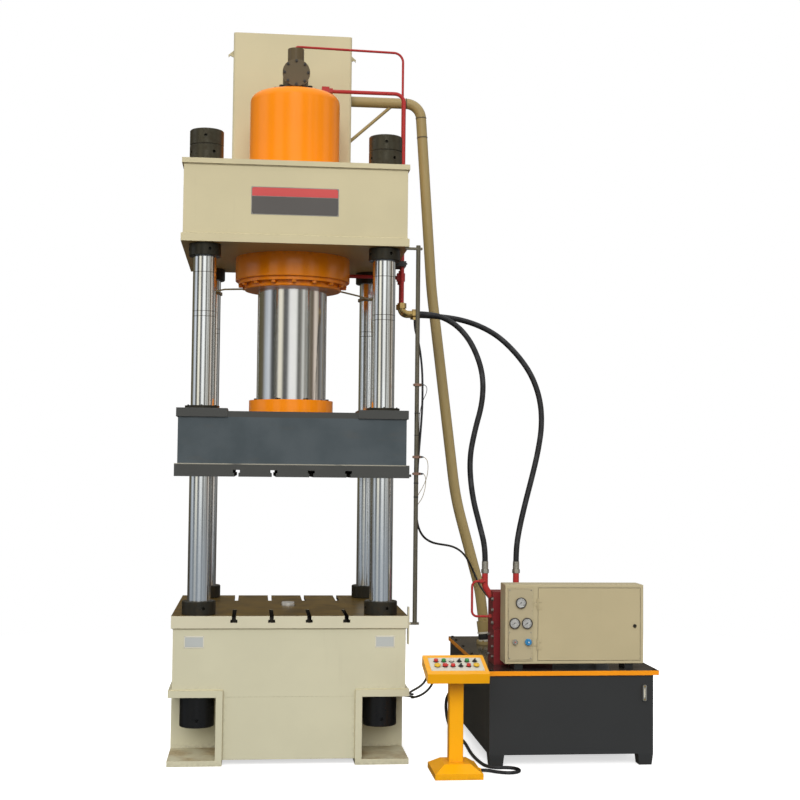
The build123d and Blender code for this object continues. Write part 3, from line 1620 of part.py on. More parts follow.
# Console: a tilted box with a bore for each control.
control_places = [
    (control_x + (index - 2.5) * control_pitch, row) for row in (top_row, bottom_row) for index in range(6)
]
with BuildPart() as console:
    with BuildSketch(desk.offset(-desk_thickness)):
        Rectangle(desk_width, desk_depth)
    extrude(amount=desk_thickness)
    fillet(console.edges().filter_by(Axis(desk.origin, desk.z_dir)), radius=desk_round)
    with BuildSketch(desk):
        with Locations(*control_places):
            Circle(stem_dia / 2 + fit_gap)
    extrude(amount=-(stem_length + button_travel + fit_gap), mode=Mode.SUBTRACT)
pieces["console"] = console


def push_button(place, head_dia, crown):
    """A push button: a stem in the console with a head that stays clear of it when pressed."""
    with BuildPart() as button:
        with BuildSketch(desk.offset(-stem_length + button_travel)):
            with Locations(place):
                Circle(stem_dia / 2)
        extrude(amount=stem_length - button_travel + button_rise)
        with BuildSketch(desk.offset(button_rise)):
            with Locations(place):
                Circle(head_dia / 2)
        extrude(amount=button_height)
        top = button.edges().filter_by(GeomType.CIRCLE).sort_by(Axis.Z)[-1]
        fillet(top, radius=crown)
    return button


def selector(place):
    """A selector: a round base with a raised grip that turns."""
    with BuildPart() as switch:
        with BuildSketch(desk.offset(-stem_length + button_travel)):
            with Locations(place):
                Circle(stem_dia / 2)
        extrude(amount=stem_length - button_travel + fit_gap)
        with BuildSketch(desk.offset(fit_gap)):
            with Locations(place):
                Circle(button_dia / 2)
        extrude(amount=button_rise)
        with BuildSketch(desk.offset(fit_gap + button_rise)):
            with Locations(place):
                SlotOverall(selector_grip, selector_grip_width, rotation=selector_turn)
        extrude(amount=button_height)
    return switch


control_names = (
    "motor_stop_button",
    "motor_start_button",
    "reset_button",
    "mode_selector",
    "press_button",
    "ejector_selector",
    "left_start_mushroom",
    "emergency_stop",
    "return_button",
    "speed_selector",
    "slide_stop_button",
    "right_start_mushroom",
)
for control_name, control_place in zip(control_names, control_places):
    if "selector" in control_name:
        pieces[control_name] = selector(control_place)
    elif "mushroom" in control_name or "emergency" in control_name:
        pieces[control_name] = push_button(control_place, mushroom_dia, mushroom_crown)
    else:
        pieces[control_name] = push_button(control_place, button_dia, button_crown)

# Hoses and cables. Their routes are chosen by hand.
hose_front_points = [
    (hose_start_x, -pipe_spread, elbow_z),
    (808.0, -40.0, 2482.0),
    (896.0, -56.0, 2457.0),
    (982.0, -88.0, 2392.0),
    (1052.0, -122.0, 2285.0),
    (1100.0, -158.0, 2130.0),
    (1094.0, -190.0, 1965.0),
    (1044.0, -220.0, 1800.0),
    (1008.0, -250.0, 1631.0),
    (1020.0, -288.0, 1430.0),
    (1062.0, -322.0, 1255.0),
    (1087.0, -350.0, 1142.0),
    (front_riser_x, riser_y, hose_end_z),
]
hose_back_points = [
    (hose_start_x, pipe_spread, elbow_z),
    (850.0, 40.0, 2482.0),
    (1030.0, 4.0, 2453.0),
    (1180.0, -52.0, 2380.0),
    (1292.0, -90.0, 2275.0),
    (1388.0, -125.0, 2140.0),
    (1436.0, -160.0, 1990.0),
    (1440.0, -195.0, 1840.0),
    (1412.0, -228.0, 1690.0),
    (1370.0, -262.0, 1540.0),
    (1326.0, -292.0, 1395.0),
    (1288.0, -322.0, 1258.0),
    (1263.0, -350.0, 1142.0),
    (back_riser_x, riser_y, hose_end_z),
]
console_cable_front_points = [
    (body_x + cable_gland_length, front_gland_y, front_gland_z),
    (668.0, 0.0, 275.0),
    (698.0, -17.0, 277.0),
    (716.0, -48.0, 281.0),
    (720.0, -90.0, 287.0),
    (706.0, -160.0, 299.0),
    (688.0, -250.0, 314.0),
    (670.0, -345.0, 333.0),
    (660.0, -440.0, 355.0),
    (664.0, -540.0, 382.0),
    (679.0, -640.0, 412.0),
    (693.0, -728.0, 444.0),
    (702.0, -786.0, 474.0),
    (707.0, -822.0, 508.0),
    (708.0, -834.0, 536.0),
]
console_cable_back_points = [
    (body_x + cable_gland_length, back_gland_y, back_gland_z),
    (668.0, 46.0, 258.0),
    (699.0, 32.0, 257.0),
    (721.0, 4.0, 259.0),
    (730.0, -38.0, 263.0),
    (722.0, -115.0, 273.0),
    (704.0, -205.0, 288.0),
    (686.0, -305.0, 305.0),
    (674.0, -420.0, 325.0),
    (678.0, -530.0, 345.0),
    (691.0, -630.0, 369.0),
    (708.0, -716.0, 399.0),
    (728.0, -784.0, 437.0),
    (742.0, -828.0, 483.0),
    (748.0, -844.0, 530.0),
]
switch_cable_points = [
    (elbow_clip_x, -pipe_spread, elbow_clip_z),
    (712.0, -40.0, 2396.0),
    (732.0, -75.0, 2320.0),
    (741.0, -125.0, 2230.0),
    (742.0, -190.0, 2135.0),
    (736.0, -262.0, 2040.0),
    (727.0, -335.0, 1940.0),
    (713.0, -405.0, 1830.0),
    (697.0, -468.0, 1715.0),
    (683.0, -515.0, 1595.0),
    (675.0, -530.0, 1480.0),
    (672.0, -532.0, 1370.0),
    (684.0, -512.0, 1268.0),
    (722.0, -452.0, 1205.0),
    (780.0, -345.0, 1170.0),
    (842.0, -215.0, 1152.0),
    (905.0, -82.0, 1139.0),
    (965.0, 52.0, 1122.0),
    (1022.0, 185.0, 1095.0),
    (1072.0, 300.0, 1058.0),
    (1112.0, 370.0, 1008.0),
    (1142.0, 390.0, 950.0),
    (1160.0, 362.0, 900.0),
    (1170.0, 290.0, 865.0),
    (1174.0, 180.0, 845.0),
    (1173.0, 50.0, 832.0),
    (1170.0, -80.0, 822.0),
    (1166.0, -180.0, 812.0),
    (1166.0, valve_block_back, 812.0),
]
floor_z = floor_cable_dia / 2 + 0.4
floor_cable_points = [
    (pedestal_x + pedestal_width / 2 + pedestal_gland_length, pedestal_y, pedestal_rim / 2),
    (1024.0, -821.0, 15.0),
    (1058.0, -834.0, 11.0),
    (1098.0, -856.0, floor_z),
    (1143.5, -868.6, floor_z),
    (1186.3, -846.8, floor_z),
    (1202.7, -801.7, floor_z),
    (1184.0, -757.5, floor_z),
    (1140.0, -738.0, floor_z),
    (1096.0, -744.0, floor_z),
    (1058.0, -722.0, floor_z),
    (1036.0, -682.0, floor_z),
    (1026.0, -625.0, floor_z),
    (1018.0, -545.0, floor_z),
    (1012.0, -430.0, floor_z),
    (1014.0, -290.0, floor_z),
    (1021.0, -150.0, floor_z),
    (1020.0, -25.0, floor_z),
    (1006.0, 68.0, 13.0),
    (984.0, 128.0, 28.0),
    (966.0, 170.0, 62.0),
    (955.0, 191.0, 108.0),
    (950.0, 199.0, 160.0),
    (953.0, 201.0, 210.0),
    (972.0, 200.5, 250.0),
    (1007.0, 200.0, tank_gland_z),
    (oil_tank_left - cable_gland_length, tank_gland_y, tank_gland_z),
]
pieces["hose_front"] = cord("hose_front", hose_front_points, hose_dia)
pieces["hose_back"] = cord("hose_back", hose_back_points, hose_dia)
pieces["console_cable_front"] = cord(
    "console_cable_front", console_cable_front_points, console_cable_dia
)
pieces["console_cable_back"] = cord("console_cable_back", console_cable_back_points, console_cable_dia)
pieces["switch_cable"] = cord("switch_cable", switch_cable_points, switch_cable_dia)
pieces["floor_cable"] = cord("floor_cable", floor_cable_points, floor_cable_dia)

# Move every piece to the middle of the footprint and write it.
os.makedirs("parts", exist_ok=True)
for node, piece in pieces.items():
    piece.part.label = node
    piece.part.move(Location((-centre_x, -centre_y, 0)))
    export_step(piece.part, f"parts/{node}.step")
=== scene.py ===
"""Hydraulic press: the finishes, hoses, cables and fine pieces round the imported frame.

Lengths are in metres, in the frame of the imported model. Places on the press are written in
millimetres from the press's centre line, as in part.py, and go through at().
"""
import json
import math

import bmesh
import bpy
from mathutils import Matrix, Vector
from mathutils.geometry import tessellate_polygon


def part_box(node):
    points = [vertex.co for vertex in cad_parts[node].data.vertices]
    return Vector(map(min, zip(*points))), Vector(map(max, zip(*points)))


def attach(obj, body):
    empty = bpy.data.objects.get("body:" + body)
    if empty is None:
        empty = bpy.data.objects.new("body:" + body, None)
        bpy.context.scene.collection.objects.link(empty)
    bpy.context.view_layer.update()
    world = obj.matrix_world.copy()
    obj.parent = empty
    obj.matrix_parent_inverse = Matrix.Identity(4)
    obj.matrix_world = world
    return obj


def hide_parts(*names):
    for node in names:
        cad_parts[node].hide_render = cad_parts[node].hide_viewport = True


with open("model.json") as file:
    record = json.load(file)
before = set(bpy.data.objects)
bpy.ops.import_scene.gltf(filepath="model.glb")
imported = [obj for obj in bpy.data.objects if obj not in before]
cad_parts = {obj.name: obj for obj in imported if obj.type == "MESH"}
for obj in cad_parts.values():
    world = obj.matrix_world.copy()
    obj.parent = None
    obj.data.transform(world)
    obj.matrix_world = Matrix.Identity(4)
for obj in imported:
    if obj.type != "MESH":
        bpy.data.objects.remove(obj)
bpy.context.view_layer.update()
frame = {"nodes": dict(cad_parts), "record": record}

# The press's centre line, which the ram turns about
ram_low, ram_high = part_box("ram")
centre_line = ((ram_low + ram_high) / 2).xy


def at(x, y, z):
    """A place in millimetres from the press's centre line and the floor."""
    return Vector((centre_line.x + x / 1000, centre_line.y + y / 1000, z / 1000))


# Camera, solved from corners of the photograph in its 800 x 800 frame
camera_place = (-197.34, -7882.53, 1587.92)
camera_yaw, camera_pitch, camera_roll = 0.1053, 0.0492, 0.0106
camera_lens, camera_sensor = 61.04, 36


def add_object(name, data):
    """Makes an object of its data and puts it in the scene."""
    thing = bpy.data.objects.new(name, data)
    bpy.context.scene.collection.objects.link(thing)
    return thing


def make_camera():
    data = bpy.data.cameras.new("camera")
    data.lens = camera_lens
    data.sensor_width = camera_sensor
    camera = add_object("camera", data)
    forward = Vector((
        math.sin(camera_yaw) * math.cos(camera_pitch),
        math.cos(camera_yaw) * math.cos(camera_pitch),
        math.sin(camera_pitch),
    ))
    level_right = forward.cross(Vector((0, 0, 1))).normalized()
    level_up = level_right.cross(forward)
    turn = Matrix.Rotation(camera_roll, 3, -forward)
    right = turn @ level_right
    up = turn @ level_up
    rotation = Matrix((right, up, -forward)).transposed().to_4x4()
    camera.matrix_world = Matrix.Translation(at(*camera_place)) @ rotation
    bpy.context.scene.camera = camera


make_camera()
bpy.context.scene.view_settings.view_transform = "Standard"


class Graph:
    """Shader nodes, written as a few lines that name what each part of them does."""

    def __init__(self, tree):
        self.nodes = tree.nodes
        self.links = tree.links

    def put(self, socket, value):
        """Links a value that varies, or writes one that is the same all over."""
        if isinstance(value, bpy.types.NodeSocket):
            self.links.new(value, socket)
        elif isinstance(value, tuple) and len(value) == 3 and socket.type == "RGBA":
            socket.default_value = (*value, 1)
        else:
            socket.default_value = value

    def new(self, kind, inputs=(), **settings):
        """A node of a kind, with its inputs by name or number and its other settings."""
        node = self.nodes.new(f"ShaderNode{kind}")
        for name, value in settings.items():
            setattr(node, name, value)
        for name, value in dict(inputs).items():
            self.put(node.inputs[name], value)
        return node

    def math(self, operation, *values):
        return self.new("Math", enumerate(values), operation=operation).outputs[0]

    def both(self, first, second):
        """The product: 1 only where both are 1."""
        return self.math("MULTIPLY", first, second)

    def mix(self, share, first, second):
        return self.new("Mix", {0: share, 6: first, 7: second}, data_type="RGBA").outputs[2]

    def ramp(self, value, low, high, start=0.0, end=1.0, kind="LINEAR"):
        """Goes evenly from start to end as the value goes from low to high."""
        inputs = {"Value": value, "From Min": low, "From Max": high, "To Min": start, "To Max": end}
        return self.new("MapRange", inputs, interpolation_type=kind).outputs["Result"]


class Finish(Graph):
    """A material whose looks depend on the place on the object, in metres."""

    def __init__(self, name, **sockets):
        self.material = bpy.data.materials.new(name)
        self.material.use_nodes = True
        super().__init__(self.material.node_tree)
        self.shader = self.nodes["Principled BSDF"]
        self.place = self.new("TexCoord").outputs["Object"]
        for socket, value in sockets.items():
            self.set(socket.replace("_", " "), value)

    def set(self, name, value):
        self.put(self.shader.inputs[name], value)

    def noise(self, size, detail=3, stretch=(1, 1, 1), distortion=0.0):
        """Noise from 0 to 1 whose blots are about size metres, longer where stretch is above 1."""
        scale = [1 / (size * part) for part in stretch]
        mapping = self.new("Mapping", {"Vector": self.place, "Scale": scale})
        inputs = {"Vector": mapping.outputs[0], "Scale": 1, "Detail": detail, "Distortion": distortion}
        return self.new("TexNoise", inputs).outputs["Fac"]

    def step(self, value, low, high, start=0.0, end=1.0):
        """Goes smoothly from start to end as the value goes from low to high."""
        return self.ramp(value, low, high, start, end, kind="SMOOTHSTEP")

    def axis(self, number):
        return self.new("SeparateXYZ", {0: self.place}).outputs[number]

    def facing(self, number):
        """How far the surface looks along an axis: 1 along it, -1 against it."""
        normal = self.new("NewGeometry").outputs["True Normal"]
        return self.new("SeparateXYZ", {0: normal}).outputs[number]

    def band(self, number, low, high, blur):
        """1 between two places on an axis, in metres, and 0 outside them."""
        value = self.axis(number)
        rise = self.step(value, low - blur, low + blur)
        fall = self.step(value, high - blur, high + blur, 1, 0)
        return self.both(rise, fall)

    def below(self, height):
        """1 below a height in metres and 0 above it."""
        return self.step(self.axis(2), height, height + 0.001, 1, 0)

    def corners(self, reach):
        """1 in the open and less in inner corners and joints."""
        return self.new("AmbientOcclusion", {"Distance": reach}, samples=4).outputs["AO"]

    def round_normal(self, radius):
        """The normal, as if the edges were rounded to a radius."""
        return self.new("Bevel", {"Radius": radius}, samples=4).outputs[0]

    def edges(self, radius):
        """1 on the outer edges, which wear first, and 0 on the faces."""
        flat = self.new("NewGeometry").outputs["Normal"]
        dot = self.new("VectorMath", {0: self.round_normal(radius), 1: flat}, operation="DOT_PRODUCT")
        return self.step(dot.outputs["Value"], 0.8, 0.99, 1, 0)

    def recolour(self, share, colour):
        """Puts another colour over the finish where share is 1."""
        under = self.shader.inputs["Base Color"].links[0].from_socket
        self.set("Base Color", self.mix(share, under, colour))
        return self

    def relief(self, height, depth, radius=None):
        """Bump of depth metres, over edges rounded to a radius."""
        bump = self.new("Bump", {"Height": height, "Distance": depth})
        if radius:
            self.put(bump.inputs["Normal"], self.round_normal(radius))
        self.set("Normal", bump.outputs[0])


def shade(colour, factor):
    """A colour made paler or deeper."""
    return tuple(min(1.0, part * factor) for part in colour)


def paint(name, colour, gloss=0.4, dirt_and_shade=(0.16, 0.12, 0.07), worn=None, coat=0.0, shine=0.3):
    """Sprayed enamel with faint mottling, orange peel, painted shade and grime in the corners, and rubbed
    edges.
    """
    finish = Finish(name, Roughness=gloss, Specular_IOR_Level=shine, Coat_Weight=coat, Coat_Roughness=0.12)
    mottle = finish.noise(0.35, detail=5)
    body = finish.mix(finish.step(mottle, 0.35, 0.65), shade(colour, 0.97), shade(colour, 1.02))
    streaks = finish.noise(0.03, stretch=(1, 1, 14))
    body = finish.mix(finish.step(streaks, 0.62, 0.8, 0, 0.04), body, dirt_and_shade)
    # Corners and joints darkened by ambient occlusion and broken up by noise: painted shade, with grime
    occlusion_shade = finish.step(finish.corners(0.05), 0.35, 0.9, 0.5, 0)
    corner_shade_and_grime = finish.both(occlusion_shade, finish.step(finish.noise(0.02, detail=4), 0.3, 0.7))
    body = finish.mix(corner_shade_and_grime, body, dirt_and_shade)
    if worn:
        rubbed = finish.both(finish.edges(0.003), finish.step(finish.noise(0.012), 0.45, 0.6))
        body = finish.mix(rubbed, body, worn)
    finish.set("Base Color", body)
    finish.relief(finish.noise(0.0035, detail=2), 0.00012, radius=0.0025)
    return finish


def bare_metal(name, colour, gloss):
    """Machined metal, with fine scratches and a little staining."""
    finish = Finish(name, Metallic=1.0)
    stain = finish.step(finish.noise(0.06, detail=4), 0.4, 0.75, 0, 0.6)
    finish.set("Base Color", finish.mix(stain, colour, shade(colour, 0.72)))
    scratches = finish.noise(0.0016, detail=2)
    finish.set("Roughness", finish.step(scratches, 0.3, 0.7, gloss * 0.8, gloss * 1.2))
    finish.relief(scratches, 0.00002, radius=0.001)
    return finish


def blackened(name, colour=(0.032, 0.029, 0.02), gloss=0.34):
    """Oiled black oxide, browner where oil has dried."""
    finish = Finish(name, Metallic=0.55)
    cloud = finish.noise(0.025, detail=4)
    body = finish.mix(finish.step(cloud, 0.45, 0.75, 0, 0.7), colour, (0.05, 0.037, 0.018))
    bright = finish.both(finish.edges(0.002), finish.step(finish.noise(0.006), 0.4, 0.6))
    body = finish.mix(bright, body, (0.16, 0.15, 0.14))
    finish.set("Base Color", body)
    finish.set("Roughness", finish.step(cloud, 0.3, 0.7, gloss * 0.8, gloss * 1.4))
    finish.relief(finish.noise(0.0012, detail=2), 0.00005, radius=0.002)
    return finish


def rubber(name, colour, gloss=0.42):
    """Smooth extruded rubber, dusty here and there."""
    finish = Finish(name, Specular_IOR_Level=0.5)
    dust = finish.noise(0.05, detail=5)
    pale = tuple(part + 0.03 for part in colour)
    finish.set("Base Color", finish.mix(finish.step(dust, 0.45, 0.8), colour, pale))
    finish.set("Roughness", finish.step(dust, 0.3, 0.7, gloss * 0.85, gloss * 1.25))
    finish.relief(finish.noise(0.0008, detail=2), 0.00004)
    return finish


def plastic(name, colour, gloss=0.28):
    """Moulded plastic with fine grain."""
    finish = Finish(name, Coat_Weight=0.3, Coat_Roughness=0.1)
    grain = finish.noise(0.008)
    finish.set("Base Color", finish.mix(finish.step(grain, 0.35, 0.65), shade(colour, 0.85), colour))
    finish.set("Roughness", finish.step(grain, 0.3, 0.7, gloss * 0.9, gloss * 1.15))
    finish.relief(finish.noise(0.0005, detail=2), 0.00002, radius=0.0006)
    return finish


def ground_steel(name, bright=(0.78, 0.78, 0.76), rings=()):
    """Ground and polished bar, with faint rings at the heights where it has been worked."""
    finish = Finish(name, Metallic=1.0)
    cloud = finish.noise(0.12, detail=5, stretch=(1, 1, 6))
    body = finish.mix(finish.step(cloud, 0.4, 0.75, 0, 0.5), bright, (0.62, 0.61, 0.57))
    for height in rings:
        ring = finish.band(2, height, height + 0.004, 0.0012)
        body = finish.mix(finish.both(ring, 0.65), body, (0.12, 0.1, 0.08))
    finish.set("Base Color", body)
    grind = finish.noise(0.0009, detail=2, stretch=(40, 40, 1))
    finish.set("Roughness", finish.step(grind, 0.3, 0.7, 0.1, 0.17))
    finish.relief(grind, 0.000004)
    return finish


def table_plate(name, colour):
    """Painted plate whose planed top is bare, oiled and brown with old rust."""
    finish = paint(name, colour, worn=(0.3, 0.24, 0.15))
    low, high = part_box("worktable")
    upward = finish.step(finish.facing(2), 0.7, 0.9)
    planed = finish.both(upward, finish.band(2, high.z - 0.0005, high.z + 0.01, 0.0004))
    stain = finish.noise(0.12, detail=6, distortion=0.6)
    strokes = finish.noise(0.004, stretch=(30, 1, 1))
    bare = finish.mix(finish.step(stain, 0.35, 0.7), (0.19, 0.11, 0.012), (0.085, 0.048, 0.004))
    bare = finish.mix(finish.step(strokes, 0.45, 0.75, 0, 0.35), bare, (0.17, 0.12, 0.06))
    finish.recolour(planed, bare)
    # The insides of the slots and the hole are painted dark: painted shade
    across, along = (finish.band(side, low[side] + 0.002, high[side] - 0.002, 0.0005) for side in (0, 1))
    sunk_in_shade = finish.step(finish.axis(2), high.z - 0.001, high.z - 0.0004, 1, 0)
    finish.recolour(finish.both(finish.both(across, along), sunk_in_shade), (0.012, 0.01, 0.007))
    finish.set("Metallic", finish.both(planed, 0.25))
    finish.set("Roughness", finish.step(planed, 0, 1, 0.42, 0.3))
    return finish


def base_paint(name, colour, foot_top):
    """The base's paint, with oil and rust on the upper side of its foot plates."""
    finish = paint(name, colour, worn=(0.4, 0.33, 0.2))
    flat = finish.both(finish.step(finish.facing(2), 0.7, 0.9), finish.below(foot_top + 0.002))
    patches = finish.step(finish.noise(0.11, detail=5), 0.32, 0.68, 0.15, 0.85)
    age = finish.step(finish.noise(0.02, detail=5), 0.3, 0.75)
    rust = finish.mix(age, (0.44, 0.33, 0.16), (0.26, 0.165, 0.065))
    return finish.recolour(finish.both(flat, patches), rust)


def slate_paint(name, flange_top, pad_bottom):
    """Grey paint of the slide, with a painted highlight along the top edge of its lower flange."""
    finish = Finish(name, Specular_IOR_Level=0.3)
    cloud = finish.noise(0.22, detail=6)
    body = finish.mix(finish.step(cloud, 0.35, 0.65), (0.057, 0.072, 0.079), (0.077, 0.093, 0.101))
    plates = finish.math("SUBTRACT", 1, finish.band(2, flange_top, pad_bottom, 0.0005))
    body = finish.mix(plates, body, (0.062, 0.063, 0.058))
    smears = finish.noise(0.05, detail=4, stretch=(4, 4, 1))
    body = finish.mix(finish.step(smears, 0.58, 0.8, 0, 0.35), body, (0.085, 0.085, 0.078))
    # A pale, patchy line along the top edge of the lower flange: painted highlight
    lip = finish.band(2, flange_top - 0.004, flange_top + 0.001, 0.0015)
    patchy = finish.step(finish.noise(0.03, stretch=(5, 5, 1)), 0.3, 0.5)
    body = finish.mix(finish.both(lip, patchy), body, (0.36, 0.34, 0.27))
    worn = finish.both(finish.edges(0.003), finish.step(finish.noise(0.01), 0.45, 0.6, 0, 0.7))
    body = finish.mix(worn, body, (0.2, 0.2, 0.18))
    finish.set("Base Color", body)
    finish.set("Roughness", finish.step(cloud, 0.3, 0.7, 0.38, 0.5))
    finish.relief(finish.noise(0.003), 0.00012, radius=0.0025)
    return finish


def head_paint(name, split):
    """Screw heads: painted over with the cylinder up to a height, blackened above it."""
    finish = Finish(name, Roughness=0.3)
    above = finish.step(finish.axis(2), split, split + 0.01)
    finish.set("Base Color", finish.mix(above, (0.9, 0.26, 0.004), (0.03, 0.026, 0.02)))
    finish.relief(finish.noise(0.002, detail=2), 0.00005, radius=0.0015)
    return finish


def lid_paint(name):
    """Tank lid: dark glossy oily top, with orange paint on its edges."""
    finish = paint(name, (0.92, 0.31, 0.006), worn=(0.3, 0.15, 0.04))
    upward = finish.step(finish.facing(2), 0.6, 0.9)
    oil = finish.step(finish.noise(0.15, detail=5), 0.35, 0.7)
    finish.recolour(upward, finish.mix(oil, (0.022, 0.021, 0.02), (0.05, 0.042, 0.03)))
    finish.set("Roughness", finish.step(upward, 0, 1, 0.4, 0.16))
    return finish


def weld_bead(name, colour):
    """Paint over a weld, rippled along the seam."""
    finish = Finish(name, Roughness=0.4)
    mottle = finish.step(finish.noise(0.02), 0.35, 0.65)
    finish.set("Base Color", finish.mix(mottle, shade(colour, 0.82), colour))
    finish.relief(finish.noise(0.004, detail=2), 0.0006)
    return finish


cream = (0.605, 0.535, 0.335)
slide_low, slide_high = (corner.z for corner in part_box("slide"))

# Places in metres where a node's finish changes
slide_flange, slide_pad = 0.069, 0.047
column_rings = (2.387, 2.415, 2.627)
painted_screws_top = 3.2
base_foot_top = 0.03
shaded_nuts_top = 0.5
cabinet_feet_top = 0.5345
rod_bracket_top, rod_bracket_side = 0.9, at(645, 0, 0).x

finishes = {
    "cream": paint("cream_paint", cream, worn=(0.4, 0.33, 0.2)),
    "table": table_plate("table_plate", (0.62, 0.58, 0.42)),
    "polished": ground_steel("ground_steel"),
    "black_nut": blackened("black_nut"),
    "orange": paint(
        "orange_paint", (0.99, 0.275, 0.001), gloss=0.5, dirt_and_shade=(0.3, 0.08, 0.01), coat=0.7, shine=0.1,
    ),
    "slate": slate_paint("slate_paint", slide_low + slide_flange, slide_high - slide_pad),
    "screw": blackened("black_screw", gloss=0.3),
    "valve": paint("valve_iron", (0.105, 0.075, 0.034), dirt_and_shade=(0.03, 0.022, 0.012), coat=0.3),
    "beige": paint("tank_beige", (0.63, 0.505, 0.19), gloss=0.36),
    "pipe_beige": paint("pipe_khaki", (0.36, 0.268, 0.108), worn=(0.16, 0.1, 0.04), coat=0.6),
    "red": paint("pipe_red", (0.42, 0.032, 0.03), gloss=0.33, worn=(0.2, 0.15, 0.1)),
    "black": rubber("black_parts", (0.014, 0.014, 0.014)),
    "brass": bare_metal("brass", (0.62, 0.43, 0.16), 0.26),
    "steel": bare_metal("plain_steel", (0.42, 0.4, 0.36), 0.32),
    "zinc": bare_metal("zinc_plate", (0.6, 0.57, 0.48), 0.3),
    "charcoal": paint("charcoal_paint", (0.031, 0.032, 0.032), gloss=0.34, dirt_and_shade=(0.03, 0.02, 0.01)),
    "hose": rubber("hose_rubber", (0.012, 0.012, 0.013), gloss=0.3),
    "cable": rubber("cable_sheath", (0.01, 0.01, 0.011), gloss=0.36),
    "amber": paint("amber_paint", (0.95, 0.42, 0.003), gloss=0.33, dirt_and_shade=(0.3, 0.11, 0.01), coat=0.08),
    "dark_red": paint("lid_red", (0.42, 0.13, 0.01)),
    "bronze": bare_metal("bronze", (0.35, 0.2, 0.08), 0.35),
    "motor_grey": paint("motor_grey", (0.2, 0.22, 0.23)),
    "gauge": bare_metal("gauge_case", (0.3, 0.28, 0.24), 0.3),
    "level": plastic("level_glass", (0.3, 0.2, 0.06), gloss=0.12),
}
key_colours = {
    "red": (0.62, 0.02, 0.015), "green": (0.03, 0.28, 0.06), "white": (0.72, 0.7, 0.62),
    "black": (0.012, 0.012, 0.012), "yellow": (0.82, 0.5, 0.02), "blue": (0.04, 0.25, 0.5),
}
finishes |= {f"key_{name}": plastic(f"key_{name}", colour) for name, colour in key_colours.items()}

# Finishes of the fine pieces that have none of their own in the frame
sign_red = paint("sign_red", (0.6, 0.085, 0.08), gloss=0.35)
sign_grey = paint("sign_grey", (0.1, 0.092, 0.085))
tag_grey = paint("tag_grey", (0.28, 0.245, 0.19))
sign_pale = paint("sign_pale", (0.66, 0.63, 0.52))
sign_blue = paint("sign_blue", (0.46, 0.48, 0.46))
dial_white = plastic("dial_white", (0.74, 0.73, 0.68), gloss=0.4)
rim_steel = bare_metal("rim_steel", (0.16, 0.15, 0.13), 0.28)
clear_glass = Finish("clear_glass", Transmission_Weight=1.0, Roughness=0.02, IOR=1.45)
oil_glass = plastic("oil_glass", (0.62, 0.58, 0.46), gloss=0.15)
weld_finishes = {
    "cream": weld_bead("cream_weld", cream),
    "beige": weld_bead("beige_weld", (0.58, 0.46, 0.24)),
    "pipe_beige": weld_bead("khaki_weld", (0.13, 0.1, 0.05)),
    "amber": weld_bead("amber_weld", (0.8, 0.35, 0.006)),
}

# Black feet under the cabinet, and a painted bracket at the foot of the switch rod
cabinet_paint = paint("cabinet_cream", (0.48, 0.41, 0.25), worn=(0.33, 0.28, 0.18))
cabinet_paint.recolour(cabinet_paint.below(cabinet_feet_top), (0.02, 0.02, 0.019))
rod_steel = bare_metal("rod_steel", (0.26, 0.235, 0.175), 0.4)
rod_bracket = rod_steel.both(
    rod_steel.below(rod_bracket_top),
    rod_steel.step(rod_steel.axis(0), rod_bracket_side, rod_bracket_side + 0.001, 1, 0),
)
rod_steel.recolour(rod_bracket, (0.52, 0.48, 0.34))
rod_steel.set("Metallic", rod_steel.step(rod_bracket, 0, 1, 1, 0))

# Column nuts: painted lighter above the crosshead, where light falls on them, and painted shade on those in
# the niches
nuts_lit_and_shaded = blackened("nuts_lit_and_shaded", colour=(0.068, 0.06, 0.038))
nuts_lit_and_shaded.recolour(nuts_lit_and_shaded.below(shaded_nuts_top), (0.012, 0.012, 0.012))

# The crosshead's downward faces are painted darker and browner: painted shade under the crosshead
crosshead_paint = paint("crosshead_cream", cream, worn=(0.4, 0.33, 0.2))
underside_shade = crosshead_paint.step(crosshead_paint.facing(2), -0.95, -0.7, 0.75, 0)
crosshead_paint.recolour(underside_shade, (0.45, 0.27, 0.075))

# Nodes whose paint or metal differs from the others of their slot
node_finishes = {
    "crosshead": crosshead_paint,
    "cabinet": cabinet_paint,
    "valve_block": paint(
        "block_red", (0.2, 0.018, 0.022), gloss=0.36, dirt_and_shade=(0.03, 0.02, 0.015), worn=(0.1, 0.06, 0.04),
    ),
    "door_lock": blackened("lock_black"),
    "ejector_rod": Finish("rod_end", Metallic=0.6, Roughness=0.35, Base_Color=(0.75, 0.73, 0.67)),
    "level_gauge": bare_metal("level_frame", (0.5, 0.48, 0.42), 0.35),
    "cabinet_door": paint("door_cream", (0.485, 0.41, 0.245)),
    "instrument_panel": paint("panel_cream", (0.44, 0.375, 0.235)),
    "columns": ground_steel("column_steel", bright=(0.9, 0.93, 0.93), rings=column_rings),
    "outer_nuts": nuts_lit_and_shaded,
    "screws": head_paint("screw_heads", painted_screws_top),
    "base": base_paint("base_cream", (0.6, 0.57, 0.405), base_foot_top),
    "tank_lid": lid_paint("lid_paint"),
    "guide_bushes": blackened("black_bush"),
    "switch_rod": rod_steel,
    "limit_switches": bare_metal("switch_clamp", (0.42, 0.25, 0.18), 0.4),
}


def coat_frame():
    """Gives each node of the frame the finish of its own slot, or one of its own."""
    slots = {part["node"]: part["material_slot"] for part in frame["record"]["subparts"]}
    for name, node in frame["nodes"].items():
        finish = finishes[slots[name]]
        for slot in node.material_slots:
            slot.material = finish.material
    for name, finish in node_finishes.items():
        frame["nodes"][name].material_slots[0].material = finish.material


coat_frame()


